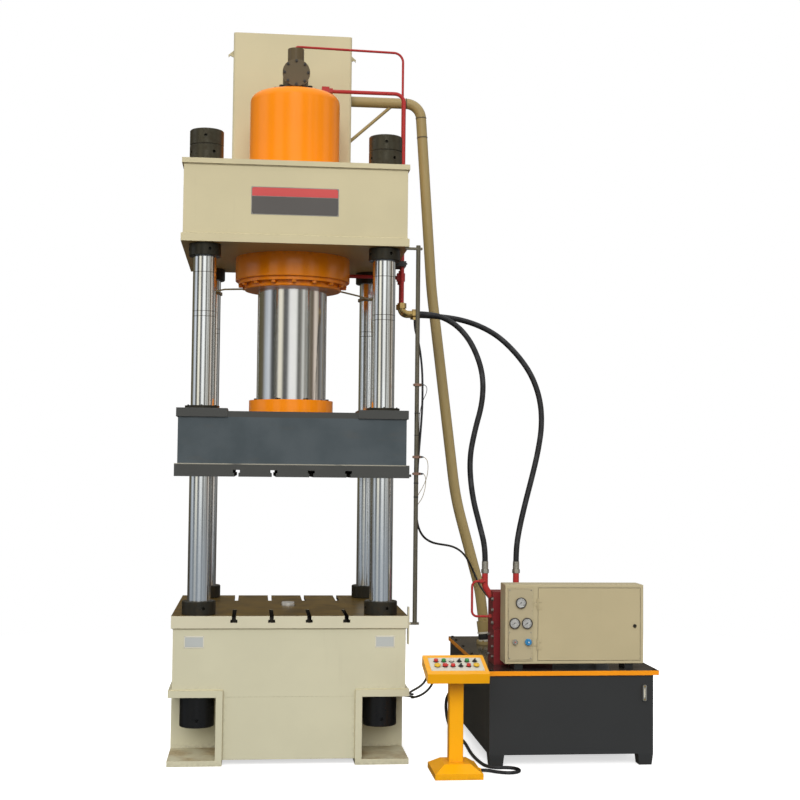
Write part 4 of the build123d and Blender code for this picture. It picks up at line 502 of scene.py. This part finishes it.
def smooth_line(name, route, radius, finish, sides, steps):
    """A round line on one smooth curve along its route."""
    curve = bpy.data.curves.new(name, "CURVE")
    curve.dimensions = "3D"
    curve.bevel_depth = radius / 1000
    curve.bevel_resolution = sides
    curve.resolution_u = steps
    curve.use_fill_caps = True
    spline = curve.splines.new("NURBS")
    spline.points.add(len(route) - 1)
    for point, place in zip(spline.points, route):
        point.co = (*at(*place), 1)
    spline.order_u = 3
    spline.use_endpoint_u = True
    curve.materials.append(finishes[finish].material)
    return add_object(name, curve)


def add_cord(node, finish, diameter, route):
    """A round hose or cable, in place of its tube in the frame."""
    cord = smooth_line(f"{node}_line", route, diameter / 2, finish, sides=6, steps=10)
    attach(cord, "frame")
    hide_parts(node)


# Hoses and cables: the routes are those of part.py
add_cord("hose_front", "hose", 32, [
    (727, -40, 2482), (808, -40, 2482), (896, -56, 2457), (982, -88, 2392), (1052, -122, 2285),
    (1100, -158, 2130), (1094, -190, 1965), (1044, -220, 1800), (1008, -250, 1631), (1020, -288, 1430),
    (1062, -322, 1255), (1087, -350, 1142), (1087, -350, 1065),
])
add_cord("hose_back", "hose", 32, [
    (727, 40, 2482), (850, 40, 2482), (1030, 4, 2453), (1180, -52, 2380), (1292, -90, 2275),
    (1388, -125, 2140), (1436, -160, 1990), (1440, -195, 1840), (1412, -228, 1690), (1370, -262, 1540),
    (1326, -292, 1395), (1288, -322, 1258), (1263, -350, 1142), (1263, -350, 1065),
])
add_cord("console_cable_front", "cable", 12, [
    (634, 0, 275), (668, 0, 275), (698, -17, 277), (716, -48, 281), (720, -90, 287), (706, -160, 299),
    (688, -250, 314), (670, -345, 333), (660, -440, 355), (664, -540, 382), (679, -640, 412),
    (693, -728, 444), (702, -786, 474), (707, -822, 508), (708, -834, 536),
])
add_cord("console_cable_back", "cable", 12, [
    (634, 46, 258), (668, 46, 258), (699, 32, 257), (721, 4, 259), (730, -38, 263), (722, -115, 273),
    (704, -205, 288), (686, -305, 305), (674, -420, 325), (678, -530, 345), (691, -630, 369),
    (708, -716, 399), (728, -784, 437), (742, -828, 483), (748, -844, 530),
])
add_cord("switch_cable", "cable", 12, [
    (712, -40, 2446), (712, -40, 2396), (732, -75, 2320), (741, -125, 2230), (742, -190, 2135),
    (736, -262, 2040), (727, -335, 1940), (713, -405, 1830), (697, -468, 1715), (683, -515, 1595),
    (675, -530, 1480), (672, -532, 1370), (684, -512, 1268), (722, -452, 1205), (780, -345, 1170),
    (842, -215, 1152), (905, -82, 1139), (965, 52, 1122), (1022, 185, 1095), (1072, 300, 1058),
    (1112, 370, 1008), (1142, 390, 950), (1160, 362, 900), (1170, 290, 865), (1174, 180, 845),
    (1173, 50, 832), (1170, -80, 822), (1166, -180, 812), (1166, -260, 812),
])
add_cord("floor_cable", "cable", 18, [
    (991, -821, 15), (1024, -821, 15), (1058, -834, 11), (1098, -856, 9.4), (1143.5, -868.6, 9.4),
    (1186.3, -846.8, 9.4), (1202.7, -801.7, 9.4), (1184, -757.5, 9.4), (1140, -738, 9.4),
    (1096, -744, 9.4), (1058, -722, 9.4), (1036, -682, 9.4), (1026, -625, 9.4), (1018, -545, 9.4),
    (1012, -430, 9.4), (1014, -290, 9.4), (1021, -150, 9.4), (1020, -25, 9.4), (1006, 68, 13),
    (984, 128, 28), (966, 170, 62), (955, 191, 108), (950, 199, 160), (953, 201, 210),
    (972, 200.5, 250), (1007, 200, 272), (1046, 200, 272),
])

# Angles between two faces above which their edge is bevelled, and above which it looks sharp
bevel_angle, shading_angle = 0.6, math.radians(21)


def folds(edge, angle):
    return edge.is_manifold and edge.calc_face_angle() > angle


class Piece:
    """A fine piece built from simple solids, written in millimetres like the rest."""

    def __init__(self, name, body, slot, place=at):
        self.name = name
        self.body = body
        self.slot = slot
        self.place = place
        self.bm = bmesh.new()

    def corner(self, point):
        return self.bm.verts.new(self.place(*point))

    def prism(self, origin, across, up, outline, depth, holes=()):
        """A solid with this outline in the plane of two directions, as deep as depth."""
        origin, across, up = Vector(origin), Vector(across).normalized(), Vector(up).normalized()
        inward = across.cross(up) * depth
        loops = [outline, *holes]
        near = [[self.corner(origin + across * u + up * v) for u, v in loop] for loop in loops]
        far = [[self.corner(origin + across * u + up * v + inward) for u, v in loop] for loop in loops]
        for ring in (near, far):
            if holes:
                corners = [corner for loop in ring for corner in loop]
                flat = [[Vector((u, v, 0)) for u, v in loop] for loop in loops]
                for triangle in tessellate_polygon(flat):
                    self.bm.faces.new([corners[index] for index in triangle])
            else:
                self.bm.faces.new(ring[0])
        for front, back in zip(near, far):
            for index in range(len(front)):
                following = (index + 1) % len(front)
                self.bm.faces.new((front[index], back[index], back[following], front[following]))

    def box(self, x, y, z):
        outline = ((x[0], z[0]), (x[1], z[0]), (x[1], z[1]), (x[0], z[1]))
        self.prism((0, y[0], 0), (1, 0, 0), (0, 0, 1), outline, y[0] - y[1])

    def lathe(self, start, along, profile, sides=32):
        """A round solid from its profile of distances along the axis and radii."""
        start, along = Vector(start), Vector(along).normalized()
        across = along.orthogonal().normalized()
        up = along.cross(across)
        rings = []
        for distance, radius in profile:
            middle = start + along * distance
            count = sides if radius else 1
            spins = [2 * math.pi * index / sides for index in range(count)]
            rings.append([
                self.corner(middle + (across * math.cos(spin) + up * math.sin(spin)) * radius)
                for spin in spins
            ])
        for low, high in zip(rings, rings[1:]):
            for index in range(sides):
                following = (index + 1) % sides
                face = [low[index % len(low)], low[following % len(low)],
                        high[following % len(high)], high[index % len(high)]]
                self.bm.faces.new(list(dict.fromkeys(face)))

    def rod(self, start, end, radius):
        """A thin straight bar of eight sides, such as a weld bead."""
        sides = 8
        start, end = Vector(start), Vector(end)
        along = (end - start).normalized()
        across = along.cross(Vector((0.31, 0.2, 0.93))).normalized()
        up = along.cross(across)
        spins = [2 * math.pi * step / sides for step in range(sides)]
        low, high = (
            [self.corner(point + (across * math.cos(spin) + up * math.sin(spin)) * radius) for spin in spins]
            for point in (start, end)
        )
        for index in range(sides):
            following = (index + 1) % sides
            self.bm.faces.new((low[index], low[following], high[following], high[index]))
        self.bm.faces.new(low[::-1])
        self.bm.faces.new(high)

    def done(self, bevel=0.0, finish=None):
        """Rounds the hard edges by bevel millimetres and makes the object."""
        bmesh.ops.remove_doubles(self.bm, verts=self.bm.verts, dist=1e-6)
        bmesh.ops.recalc_face_normals(self.bm, faces=self.bm.faces)
        if bevel:
            hard = [edge for edge in self.bm.edges if folds(edge, bevel_angle)]
            bmesh.ops.bevel(self.bm, geom=hard, offset=bevel / 1000, segments=2, profile=0.5, affect="EDGES")
        for face in self.bm.faces:
            face.smooth = True
        for edge in self.bm.edges:
            edge.smooth = not folds(edge, shading_angle)
        mesh = bpy.data.meshes.new(self.name)
        self.bm.to_mesh(mesh)
        self.bm.free()
        piece = add_object(self.name, mesh)
        mesh.materials.append((finish or finishes[self.slot]).material)
        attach(piece, self.body)
        return piece


def rounded(width, height, radius):
    """The outline of a rectangle with round corners, about its middle."""
    outline = []
    for index, (side, end) in enumerate(((1, -1), (1, 1), (-1, 1), (-1, -1))):
        u, v = side * (width / 2 - radius), end * (height / 2 - radius)
        for quarter in (0, 0.25, 0.5, 0.75, 1):
            spin = math.pi / 2 * (index - 1 + quarter)
            outline.append((u + radius * math.cos(spin), v + radius * math.sin(spin)))
    return outline


def hexagon(flats, turn=0.0):
    reach = flats / math.sqrt(3)
    return [(reach * math.cos(turn + math.pi / 3 * side), reach * math.sin(turn + math.pi / 3 * side))
            for side in range(6)]


def corners_of(across, along, inset):
    """The four corners of a rectangle, moved in from its sides."""
    left, right = across[0] + inset, across[1] - inset
    low, high = along[0] + inset, along[1] - inset
    return [(left, low), (left, high), (right, low), (right, high)]


dome = ((0, 0), (0, 1), (0.35, 1), (0.7, 0.75), (0.9, 0.4), (1, 0))


def button_head(piece, place, along, radius, height):
    """A low domed head, such as a rivet or a round screw."""
    piece.lathe(place, along, [(part * height, share * radius) for part, share in dome], sides=20)


def socket_head(piece, place, along, radius, height):
    """A socket-head screw: a round head with a hexagon recess, drawn as a round one."""
    profile = ((0, 0), (0, radius), (height * 0.9, radius), (height, radius * 0.9),
               (height, radius * 0.55), (height * 0.45, radius * 0.5), (height * 0.45, 0))
    piece.lathe(place, along, profile, sides=20)


LEFT, RIGHT, FRONT, BACK, UP = (-1, 0, 0), (1, 0, 0), (0, -1, 0), (0, 1, 0), (0, 0, 1)


def plate(name, slot, x, z, y, thickness, radius, finish=None):
    """A flat plate on a surface that looks to the front."""
    piece = Piece(name, "frame", slot)
    middle = ((x[0] + x[1]) / 2, y, (z[0] + z[1]) / 2)
    piece.prism(middle, RIGHT, UP, rounded(x[1] - x[0], z[1] - z[0], radius), thickness)
    piece.done(bevel=0.3, finish=finish)


# Bare plates, where the machine carries its name and its rating
head_face, base_face = -580, -570
plate_thickness, field_thickness = 1.2, 0.6
name_x, name_z, field_x = (-244, 229), (2940, 3092), (-240, 225)
name_face, label_face = head_face - plate_thickness, base_face - plate_thickness
plate("nameplate_back", "steel", name_x, name_z, head_face, plate_thickness, 3)
plate("nameplate_red", "red", field_x, (3041, 3088), name_face, field_thickness, 1.5, sign_red)
plate("nameplate_grey", "motor_grey", field_x, (2944, 3039), name_face, field_thickness, 1.5, sign_grey)
rivets = Piece("plate_rivets", "frame", "steel")
for x, z in corners_of(name_x, name_z, 7):
    button_head(rivets, (x, name_face - field_thickness, z), FRONT, 3, 1.6)
label_z = (616, 681)
for side, left in (("left", -561), ("right", 455)):
    label_x, inner_x = (left, left + 106), (left + 6, left + 100)
    plate(f"label_{side}", "zinc", label_x, label_z, base_face, plate_thickness, 2, finish=sign_pale)
    plate(f"label_{side}_field", "zinc", inner_x, (623, 674), label_face, 0.3, 1, finish=sign_blue)
    for x, z in corners_of(label_x, label_z, 4):
        button_head(rivets, (x, label_face, z), FRONT, 1.8, 1)
rivets.done()


def weld(name, slot, runs, radius):
    """Weld beads along straight runs."""
    bead = Piece(name, "frame", slot)
    for start, end in runs:
        bead.rod(start, end, radius)
    bead.done(finish=weld_finishes[slot])


def around(half_x, half_y, z, middle=(0, 0)):
    """The four sides of a rectangle at one height."""
    signs = ((-1, -1), (1, -1), (1, 1), (-1, 1))
    ring = [(middle[0] + x * half_x, middle[1] + y * half_y, z) for x, y in signs]
    return [(ring[index], ring[(index + 1) % 4]) for index in range(4)]


# Weld seams, at half widths and heights of the boxes that they join
head_half = (606, 580)
weld("crosshead_welds", "cream", around(*head_half, 2830) + around(*head_half, 3208), 4.5)
body_x, body_y, core_x, niche_y, lip_x = 620, 570, 352, 214, 640
foot_seam, body_seam, table_seam = 32, 395, 720
base_runs = around(body_x, body_y, table_seam)
for side in (-1, 1):
    for end in (-1, 1):
        core, outer = side * core_x, side * body_x
        front, inner = end * body_y, end * niche_y
        base_runs += [
            ((core, front, foot_seam), (core, front, body_seam - 2)),
            ((core, front, body_seam), (side * lip_x, front + end, body_seam)),
            ((outer, inner, foot_seam), (outer, inner, body_seam - 2)),
            ((outer, inner, body_seam), (outer + side, front, body_seam)),
        ]
weld("base_welds", "cream", base_runs, 4)
weld("prefill_welds", "beige", around(344, 175, 3238, middle=(-10, 475)), 4)
weld("post_welds", "amber", around(37, 37, 67, middle=(857, -821)), 2.5)

# The return pipe: its weld rings, and a rubber sleeve with two clamps at its foot
return_y, level_run_z, lid_z = 431, 3850, 505
bend_fall = (0.0705, 0, -0.9975)
foot_x, foot_lean = 1230, -0.1254
foot_run = (foot_lean, 0, 1)


def on_foot(rise):
    """A place on the leaning last run of the return pipe, above the lid."""
    return (foot_x + foot_lean * rise, return_y, lid_z + rise)


pipe_rings = Piece("return_pipe_welds", "frame", "pipe_beige")
profile = ((-5, 31), (-3, 33.2), (0, 34.2), (3, 33.2), (5, 31))
for x, z, along in (
    (352, level_run_z, RIGHT), (699, level_run_z, RIGHT), (794.3, 3761, bend_fall), (803, 3639, bend_fall),
):
    pipe_rings.lathe((x, return_y, z), along, profile, sides=40)
pipe_rings.done(finish=weld_finishes["pipe_beige"])
sleeve = Piece("return_sleeve", "frame", "black")
sleeve.lathe(on_foot(20), foot_run, ((0, 33), (2, 40), (14, 43), (30, 43), (42, 40), (44, 33)), sides=48)
sleeve.done()
bands = Piece("return_clamps", "frame", "zinc")
for rise in (19, 66):
    bands.lathe(on_foot(rise), foot_run, ((0, 33), (0, 44), (1, 45), (11, 45), (12, 44), (12, 33)), sides=48)
bands.done(finish=sign_pale)

# Plugs of the valve block's drillings, and of its tower above
valve_face = 1122
plugs = Piece("valve_plugs", "frame", "steel")
block_plugs = ((-420, 545), (-420, 600), (-420, 655), (-300, 545), (-300, 655))
tower_plugs = ((-412, 730), (-412, 800), (-412, 860))
for y, z in block_plugs + tower_plugs:
    plugs.prism((valve_face, y, z), BACK, UP, hexagon(17), -9)
    plugs.lathe((valve_face + 2, y, z), LEFT, ((0, 11), (3, 11), (3, 0)), sides=24)
plugs.done(bevel=0.8)

# Screws of the clamps, the bushes, the ram's flange and the lid
clamp_face, switch_heights = 657, (1551, 1642, 2034)
clamp_screws = Piece("clamp_screws", "frame", "screw")
for z in (2771, 2920, 3120):
    for y in (-62, 0, 62):
        socket_head(clamp_screws, (clamp_face, y, z), RIGHT, 5.5, 6)
for z in switch_heights:
    socket_head(clamp_screws, (685, -582, z), FRONT, 3.5, 3.5)
clamp_screws.done()


def screw_circle(piece, middle, circle, count, radius, height):
    """Socket-head screws on a circle, half a step on from the X axis."""
    for index in range(count):
        spin = 2 * math.pi * (index + 0.5) / count
        place = Vector(middle) + circle * Vector((math.cos(spin), math.sin(spin), 0))
        socket_head(piece, place, UP, radius, height)


column_x, column_y, bush_top, ram_flange_top = 490, 482.5, 1906, 1961
slide_screws = Piece("slide_screws", "slide", "screw")
for x in (-column_x, column_x):
    for y in (-column_y, column_y):
        screw_circle(slide_screws, (x, y, bush_top), 84, 6, 4.5, 4.5)
screw_circle(slide_screws, (0, 0, ram_flange_top), 222, 8, 9, 9)
slide_screws.done()
lid_screws = Piece("lid_screws", "frame", "screw")
for x in (1072, 1965):
    for y in (-660, -330, 0, 330, 620, 780):
        lid_screws.prism((x, y, lid_z), RIGHT, BACK, hexagon(16, 0.4), 6)
lid_screws.done(bevel=0.6)

# Leads of the limit switches, tied to the rod down to the cable that carries them on
sensor_tails = Piece("sensor_tails", "frame", "key_black")
for z in switch_heights:
    tail = ((0, 0), (0, 5.4), (10, 5.4), (11, 4), (17, 3), (17.5, 0))
    sensor_tails.lathe((690.5, -572, z), RIGHT, tail, sides=20)
sensor_tails.done()


def strand(name, slot, route, radius):
    """A thin wire that is tied in place."""
    wire = smooth_line(name, route, radius, slot, sides=3, steps=12)
    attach(wire, "frame")


strand("sensor_lead_high", "cable", [
    (707, -572, 2034), (722, -570, 2028), (724, -556, 1995), (704, -536, 1950), (687, -531, 1880),
    (686, -531, 1760), (686, -531, 1640), (686, -527, 1560), (682, -524, 1520),
], 1.8)
strand("sensor_lead_middle", "pipe_beige", [
    (707, -572, 1642), (726, -571, 1634), (735, -562, 1590), (730, -548, 1530), (706, -532, 1470),
    (680, -528, 1432), (676, -526, 1400),
], 1.6)
strand("sensor_lead_low", "pipe_beige", [
    (707, -572, 1551), (720, -571, 1540), (723, -558, 1490), (708, -540, 1420), (682, -529, 1384),
    (675, -527, 1362),
], 1.6)
rod_x, rod_y = 669, -560
ties = Piece("cable_ties", "frame", "black")
for z, end in ((1500, -529), (1425, -531)):
    ties.lathe((rod_x, rod_y, z - 3), UP, ((0, 12), (0, 13.2), (6, 13.2), (6, 12)), sides=28)
    ties.box((667, 678), (-548, end), (z - 3, z + 3))
for z in (1880, 1760, 1640):
    ties.lathe((rod_x, rod_y, z - 2), UP, ((0, 12), (0, 13), (4, 13), (4, 12)), sides=28)
    ties.box((668, 688), (-547, -529), (z - 2, z + 2))
ties.done()

# Crimped grooves of the ferrules
crimps = Piece("ferrule_crimps", "frame", "zinc")
for x in (1087, 1263):
    for z in (1026, 1035, 1044, 1053):
        crimps.lathe((x, -350, z), UP, ((0, 17), (1, 18.2), (5, 18.2), (6, 17)), sides=32)
crimps.done()


def on_dial(degrees):
    """The direction on a dial at an angle from its right, and the one across it."""
    spin = math.radians(degrees)
    out = Vector((math.cos(spin), 0, math.sin(spin)))
    return out, out.cross(Vector(BACK))


# Gauges: 41 marks over 270 degrees, with a longer one at every fourth, and needles near zero
dial_start, dial_step = 225, 6.75
dial_y, mark_y, hub_y, needle_y, lens_y, rim_y = -648.6, -649.1, -649.2, -650, -652.3, -653.5
mark_reach = 22
gauges = (((1234, 863), 219), ((1200, 754), 213), ((1268, 754), 217))
rim = ((0, 25), (0, 29.2), (1.2, 29.4), (2.6, 28.2), (2.9, 26.6), (2, 25), (0, 25))
dials = Piece("gauge_dials", "frame", "gauge")
marks = Piece("gauge_marks", "frame", "key_black")
needles = Piece("gauge_needles", "frame", "key_black")
rims = Piece("gauge_rims", "frame", "gauge")
lenses = Piece("gauge_lenses", "frame", "gauge")
for (x, z), needle_angle in gauges:
    dials.lathe((x, dial_y, z), FRONT, ((0, 0), (0, 24.7), (0.5, 24.7), (0.5, 0)), sides=48)
    for step in range(41):
        out, across = on_dial(dial_start - step * dial_step)
        start, width = (19.5, 0.25) if step % 4 else (17.5, 0.5)
        middle = Vector((x, mark_y, z)) + out * (start + mark_reach) / 2
        half = (mark_reach - start) / 2
        outline = ((-half, -width), (half, -width), (half, width), (-half, width))
        marks.prism(middle, out, across, outline, 0.15)
    out, across = on_dial(needle_angle)
    needles.prism((x, needle_y, z), out, across, ((-6, -1.4), (17, -0.35), (17, 0.35), (-6, 1.4)), 0.4)
    needles.lathe((x, hub_y, z), FRONT, ((0, 0), (0, 2.6), (1.8, 2.2), (2.1, 0)), sides=20)
    rims.lathe((x, rim_y, z), FRONT, rim, sides=56)
    lenses.lathe((x, lens_y, z), FRONT, ((0, 0), (0, 24.9), (0.8, 24.9), (1.1, 20), (1.2, 0)), sides=48)
dials.done(finish=dial_white)
marks.done()
needles.done()
rims.done(finish=rim_steel)
lenses.done(finish=clear_glass)

# Marks on the two knobs under the gauges
for body, slot, x, y, radius in (
    ("shutoff", "key_red", 1202, -662.4, 3.2), ("relief", "key_white", 1274, -668.8, 3.8),
):
    spot = Piece(f"{body}_spot", body, slot)
    spot.lathe((x, y, 654), FRONT, ((0, 0), (0, radius), (0.8, radius - 0.4), (0.9, 0)), sides=20)
    spot.done()

# The panel's raised border and screws, the cabinet's mounting plate and the sight glass
panel_face = -643
border_y = (panel_face - 0.7, panel_face)
border = Piece("panel_border", "frame", "cream")
for x in ((1167, 1169), (1295, 1297)):
    border.box(x, border_y, (559, 937))
for z in ((557, 559), (937, 939)):
    border.box((1167, 1297), border_y, z)
border.done(bevel=0.3)
panel_screws = Piece("panel_screws", "frame", "steel")
for x in (1174, 1290):
    for z in (566, 704, 930):
        button_head(panel_screws, (x, panel_face, z), FRONT, 3.2, 2)
panel_screws.done()
plate("mounting_plate", "zinc", (1340, 1896), (556, 940), -495.2, 2, 3, finish=sign_pale)
level_x = 1904
glass = Piece("sight_glass", "frame", "level")
glass.prism((level_x, -691.2, 386), RIGHT, UP, rounded(9.2, 52, 4.5), 3)
glass.done(bevel=0.6, finish=oil_glass)
level_screws = Piece("level_screws", "frame", "brass")
for z in (351, 421):
    level_screws.prism((level_x, -696, z), RIGHT, UP, hexagon(9), 3.5)
level_screws.done(bevel=0.4)

# Operator's console: its pale plate, the bezels and the lobed emergency knob
desk_middle, desk_tilt = Vector((844, -900, 572.5)), math.radians(14.7)
desk_up = Vector((0, -math.sin(desk_tilt), math.cos(desk_tilt)))
desk_back = Vector((0, math.cos(desk_tilt), math.sin(desk_tilt)))


def on_desk(u, v, w):
    """A place on the console, to the right, up its slope and off its top."""
    return at(*(desk_middle + Vector((u, 0, 0)) + desk_back * v + desk_up * w))


controls = [
    "motor_stop_button", "motor_start_button", "reset_button", "mode_selector", "press_button",
    "ejector_selector", "left_start_mushroom", "emergency_stop", "return_button", "speed_selector",
    "slide_stop_button", "right_start_mushroom",
]
control_pitch, row_places, middle_u = 40.5, (37, -25), 3
control_places = {
    name: (middle_u + (index % 6 - 2.5) * control_pitch, row_places[index // 6])
    for index, name in enumerate(controls)
}
hole_radius, desk_thickness = 11.6, 0.8
plate_u, plate_v = (-135, 141), (-80, 88)
spins = [2 * math.pi * step / 28 for step in range(28)]
holes = [
    [(u + hole_radius * math.cos(spin), v + hole_radius * math.sin(spin)) for spin in spins]
    for u, v in control_places.values()
]
desk_plate = Piece("console_plate", "frame", "zinc", place=on_desk)
outline = rounded(plate_u[1] - plate_u[0], plate_v[1] - plate_v[0], 5)
desk_outline = [(u + sum(plate_u) / 2, v + sum(plate_v) / 2) for u, v in outline]
desk_plate.prism((0, 0, 0), RIGHT, BACK, desk_outline, desk_thickness, holes)
desk_plate.done(finish=sign_pale)
tags = Piece("console_tags", "frame", "motor_grey", place=on_desk)
bezels = Piece("console_bezels", "frame", "steel", place=on_desk)
bezel_lip = ((0.7, 13.6), (1, 12.6), (0.8, 11.6))
for name, (u, v) in control_places.items():
    inner = 11.3 if "selector" in name else 6.4
    height = 0.9 if "mushroom" in name or name == "emergency_stop" else 2
    foot = ((0, inner), (0, 11.5), (desk_thickness, 11.5), (desk_thickness, 14))
    lip = [(desk_thickness + share * height, radius) for share, radius in bezel_lip]
    bezels.lathe((u, v, 0), UP, (*foot, *lip, (1.4, 11.5), (1.4, inner), (0, inner)), sides=36)
    tags.prism((u, v - 21, desk_thickness), RIGHT, BACK, rounded(17, 4.4, 0.8), 0.25)
bezels.done(finish=rim_steel)
tags.done(finish=tag_grey)
desk_screws = Piece("console_screws", "frame", "steel", place=on_desk)
for u, v in corners_of(plate_u, plate_v, 6):
    button_head(desk_screws, (u, v, desk_thickness), UP, 2.6, 1.4)
desk_screws.done()

# Five lobes on the emergency stop's head, over a stem into the console
lobes = []
for step in range(60):
    spin = 2 * math.pi * step / 60
    reach = 13.4 + 2.4 * math.cos(5 * spin + math.pi / 2)
    lobes.append((reach * math.cos(spin), reach * math.sin(spin)))
u, v = control_places["emergency_stop"]
knob = Piece("emergency_knob", "emergency_stop", "key_red", place=on_desk)
knob.prism((u, v, 6), RIGHT, BACK, lobes, 8.6)
knob.lathe((u, v, -25), UP, ((0, 0), (0, 6), (31, 6), (31, 0)), sides=24)
knob = knob.done(bevel=1.6)
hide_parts("emergency_stop")


# Studio: a white floor that fades into a white background, soft lamps, and a workshop of
# light and dark upright bands that only polished surfaces see
mirror_bands = [
    (-180, 0.12, 0.1, 0.07), (-140, 0.1, 0.09, 0.05), (-112, 0.14, 0.12, 0.08),
    (-98, 0.5, 0.54, 0.6), (-82, 0.74, 0.78, 0.84), (-70, 0.09, 0.09, 0.09),
    (-58, 0.07, 0.07, 0.06), (-50, 0.95, 0.9, 0.76), (-36, 1.0, 0.95, 0.82),
    (-28, 0.1, 0.1, 0.1), (-17, 0.16, 0.16, 0.16), (-8, 1.0, 1.0, 1.0),
    (12, 1.0, 1.0, 0.98), (20, 0.1, 0.1, 0.09), (29, 0.25, 0.24, 0.22),
    (37, 0.85, 0.85, 0.82), (45, 0.22, 0.21, 0.19), (54, 0.66, 0.65, 0.62),
    (61, 0.2, 0.17, 0.13), (72, 0.14, 0.11, 0.08), (81, 0.82, 0.71, 0.63),
    (90, 0.7, 0.62, 0.54), (100, 0.1, 0.09, 0.08), (122, 0.34, 0.34, 0.34),
    (142, 0.1, 0.09, 0.08), (180, 0.12, 0.1, 0.07),
]


def make_world():
    """White to the camera, pale light from all round, and the workshop in a mirror."""
    world = bpy.data.worlds.new("studio")
    bpy.context.scene.world = world
    world.use_nodes = True
    graph = Graph(world.node_tree)
    graph.nodes.clear()
    direction = graph.new("TexCoord").outputs["Generated"]
    right, back, up = graph.new("SeparateXYZ", {0: direction}).outputs
    turn = graph.math("ARCTAN2", right, graph.both(back, -1.0))
    bands = graph.new("ValToRGB", {0: graph.math("ADD", graph.math("DIVIDE", turn, 2 * math.pi), 0.5)})
    stops = bands.color_ramp.elements
    while len(stops) < len(mirror_bands):
        stops.new(0.5)
    for stop, (degrees, *colour) in zip(stops, mirror_bands):
        stop.position = degrees / 360 + 0.5
        stop.color = (*colour, 1)
    hall_floor = graph.mix(graph.ramp(back, 0, 0.4), (0.25, 0.28, 0.32), (0.05, 0.045, 0.04))
    hall = graph.mix(graph.ramp(up, -0.005, -0.06, 0, 0.85), bands.outputs[0], hall_floor)
    workshop = graph.mix(graph.ramp(up, 0.35, 0.75), hall, (0.75, 0.76, 0.78))
    rays = graph.new("LightPath").outputs
    soft = graph.mix(rays["Is Glossy Ray"], (0.74, 0.74, 0.75), workshop)
    seen = graph.math("MAXIMUM", rays["Is Camera Ray"], rays["Is Transmission Ray"])
    background = graph.new("Background", {"Color": graph.mix(seen, soft, (1, 1, 1))})
    graph.new("OutputWorld", {0: background.outputs[0]})


def make_sun(name, toward, strength, softness):
    """A soft distant lamp that shines from a direction and shows in no mirror."""
    data = bpy.data.lights.new(name, "SUN")
    data.energy = strength
    data.angle = math.radians(softness)
    lamp = add_object(name, data)
    lamp.rotation_mode = "QUATERNION"
    lamp.rotation_quaternion = Vector(toward).to_track_quat("Z", "Y")
    lamp.visible_glossy = False


def make_floor():
    """A wide pale floor: soft shadow near the machine, plain white further out."""
    bm = bmesh.new()
    bmesh.ops.create_grid(bm, x_segments=1, y_segments=1, size=60)
    mesh = bpy.data.meshes.new("floor")
    bm.to_mesh(mesh)
    bm.free()
    floor = add_object("floor", mesh)
    material = bpy.data.materials.new("floor_white")
    material.use_nodes = True
    mesh.materials.append(material)
    graph = Graph(material.node_tree)
    graph.nodes.clear()
    rays = graph.new("LightPath").outputs
    tone = graph.mix(rays["Is Camera Ray"], (0.16, 0.15, 0.13), (0.82, 0.82, 0.81))
    diffuse = graph.new("BsdfDiffuse", {"Color": tone})
    lift = graph.new("Emission", {"Color": (1, 1, 1), "Strength": graph.both(rays["Is Camera Ray"], 0.62)})
    near = graph.new("AddShader", {0: diffuse.outputs[0], 1: lift.outputs[0]})
    place = graph.new("TexCoord").outputs["Object"]
    distance = graph.new("VectorMath", {0: place}, operation="LENGTH").outputs["Value"]
    fade = graph.both(graph.ramp(distance, 2.5, 6.0), rays["Is Camera Ray"])
    white = graph.new("Emission")
    blend = graph.new("MixShader", {0: fade, 1: near.outputs[0], 2: white.outputs[0]})
    unseen = graph.new("BsdfTransparent")
    mirrored = graph.new("MixShader", {0: rays["Is Glossy Ray"], 1: blend.outputs[0], 2: unseen.outputs[0]})
    graph.new("OutputMaterial", {0: mirrored.outputs[0]})


make_world()
make_floor()
make_sun("front_sun", (-0.12, -1, 0.56), 1.9, 40)
make_sun("back_sun", (0.3, 1, 0.6), 0.9, 40)
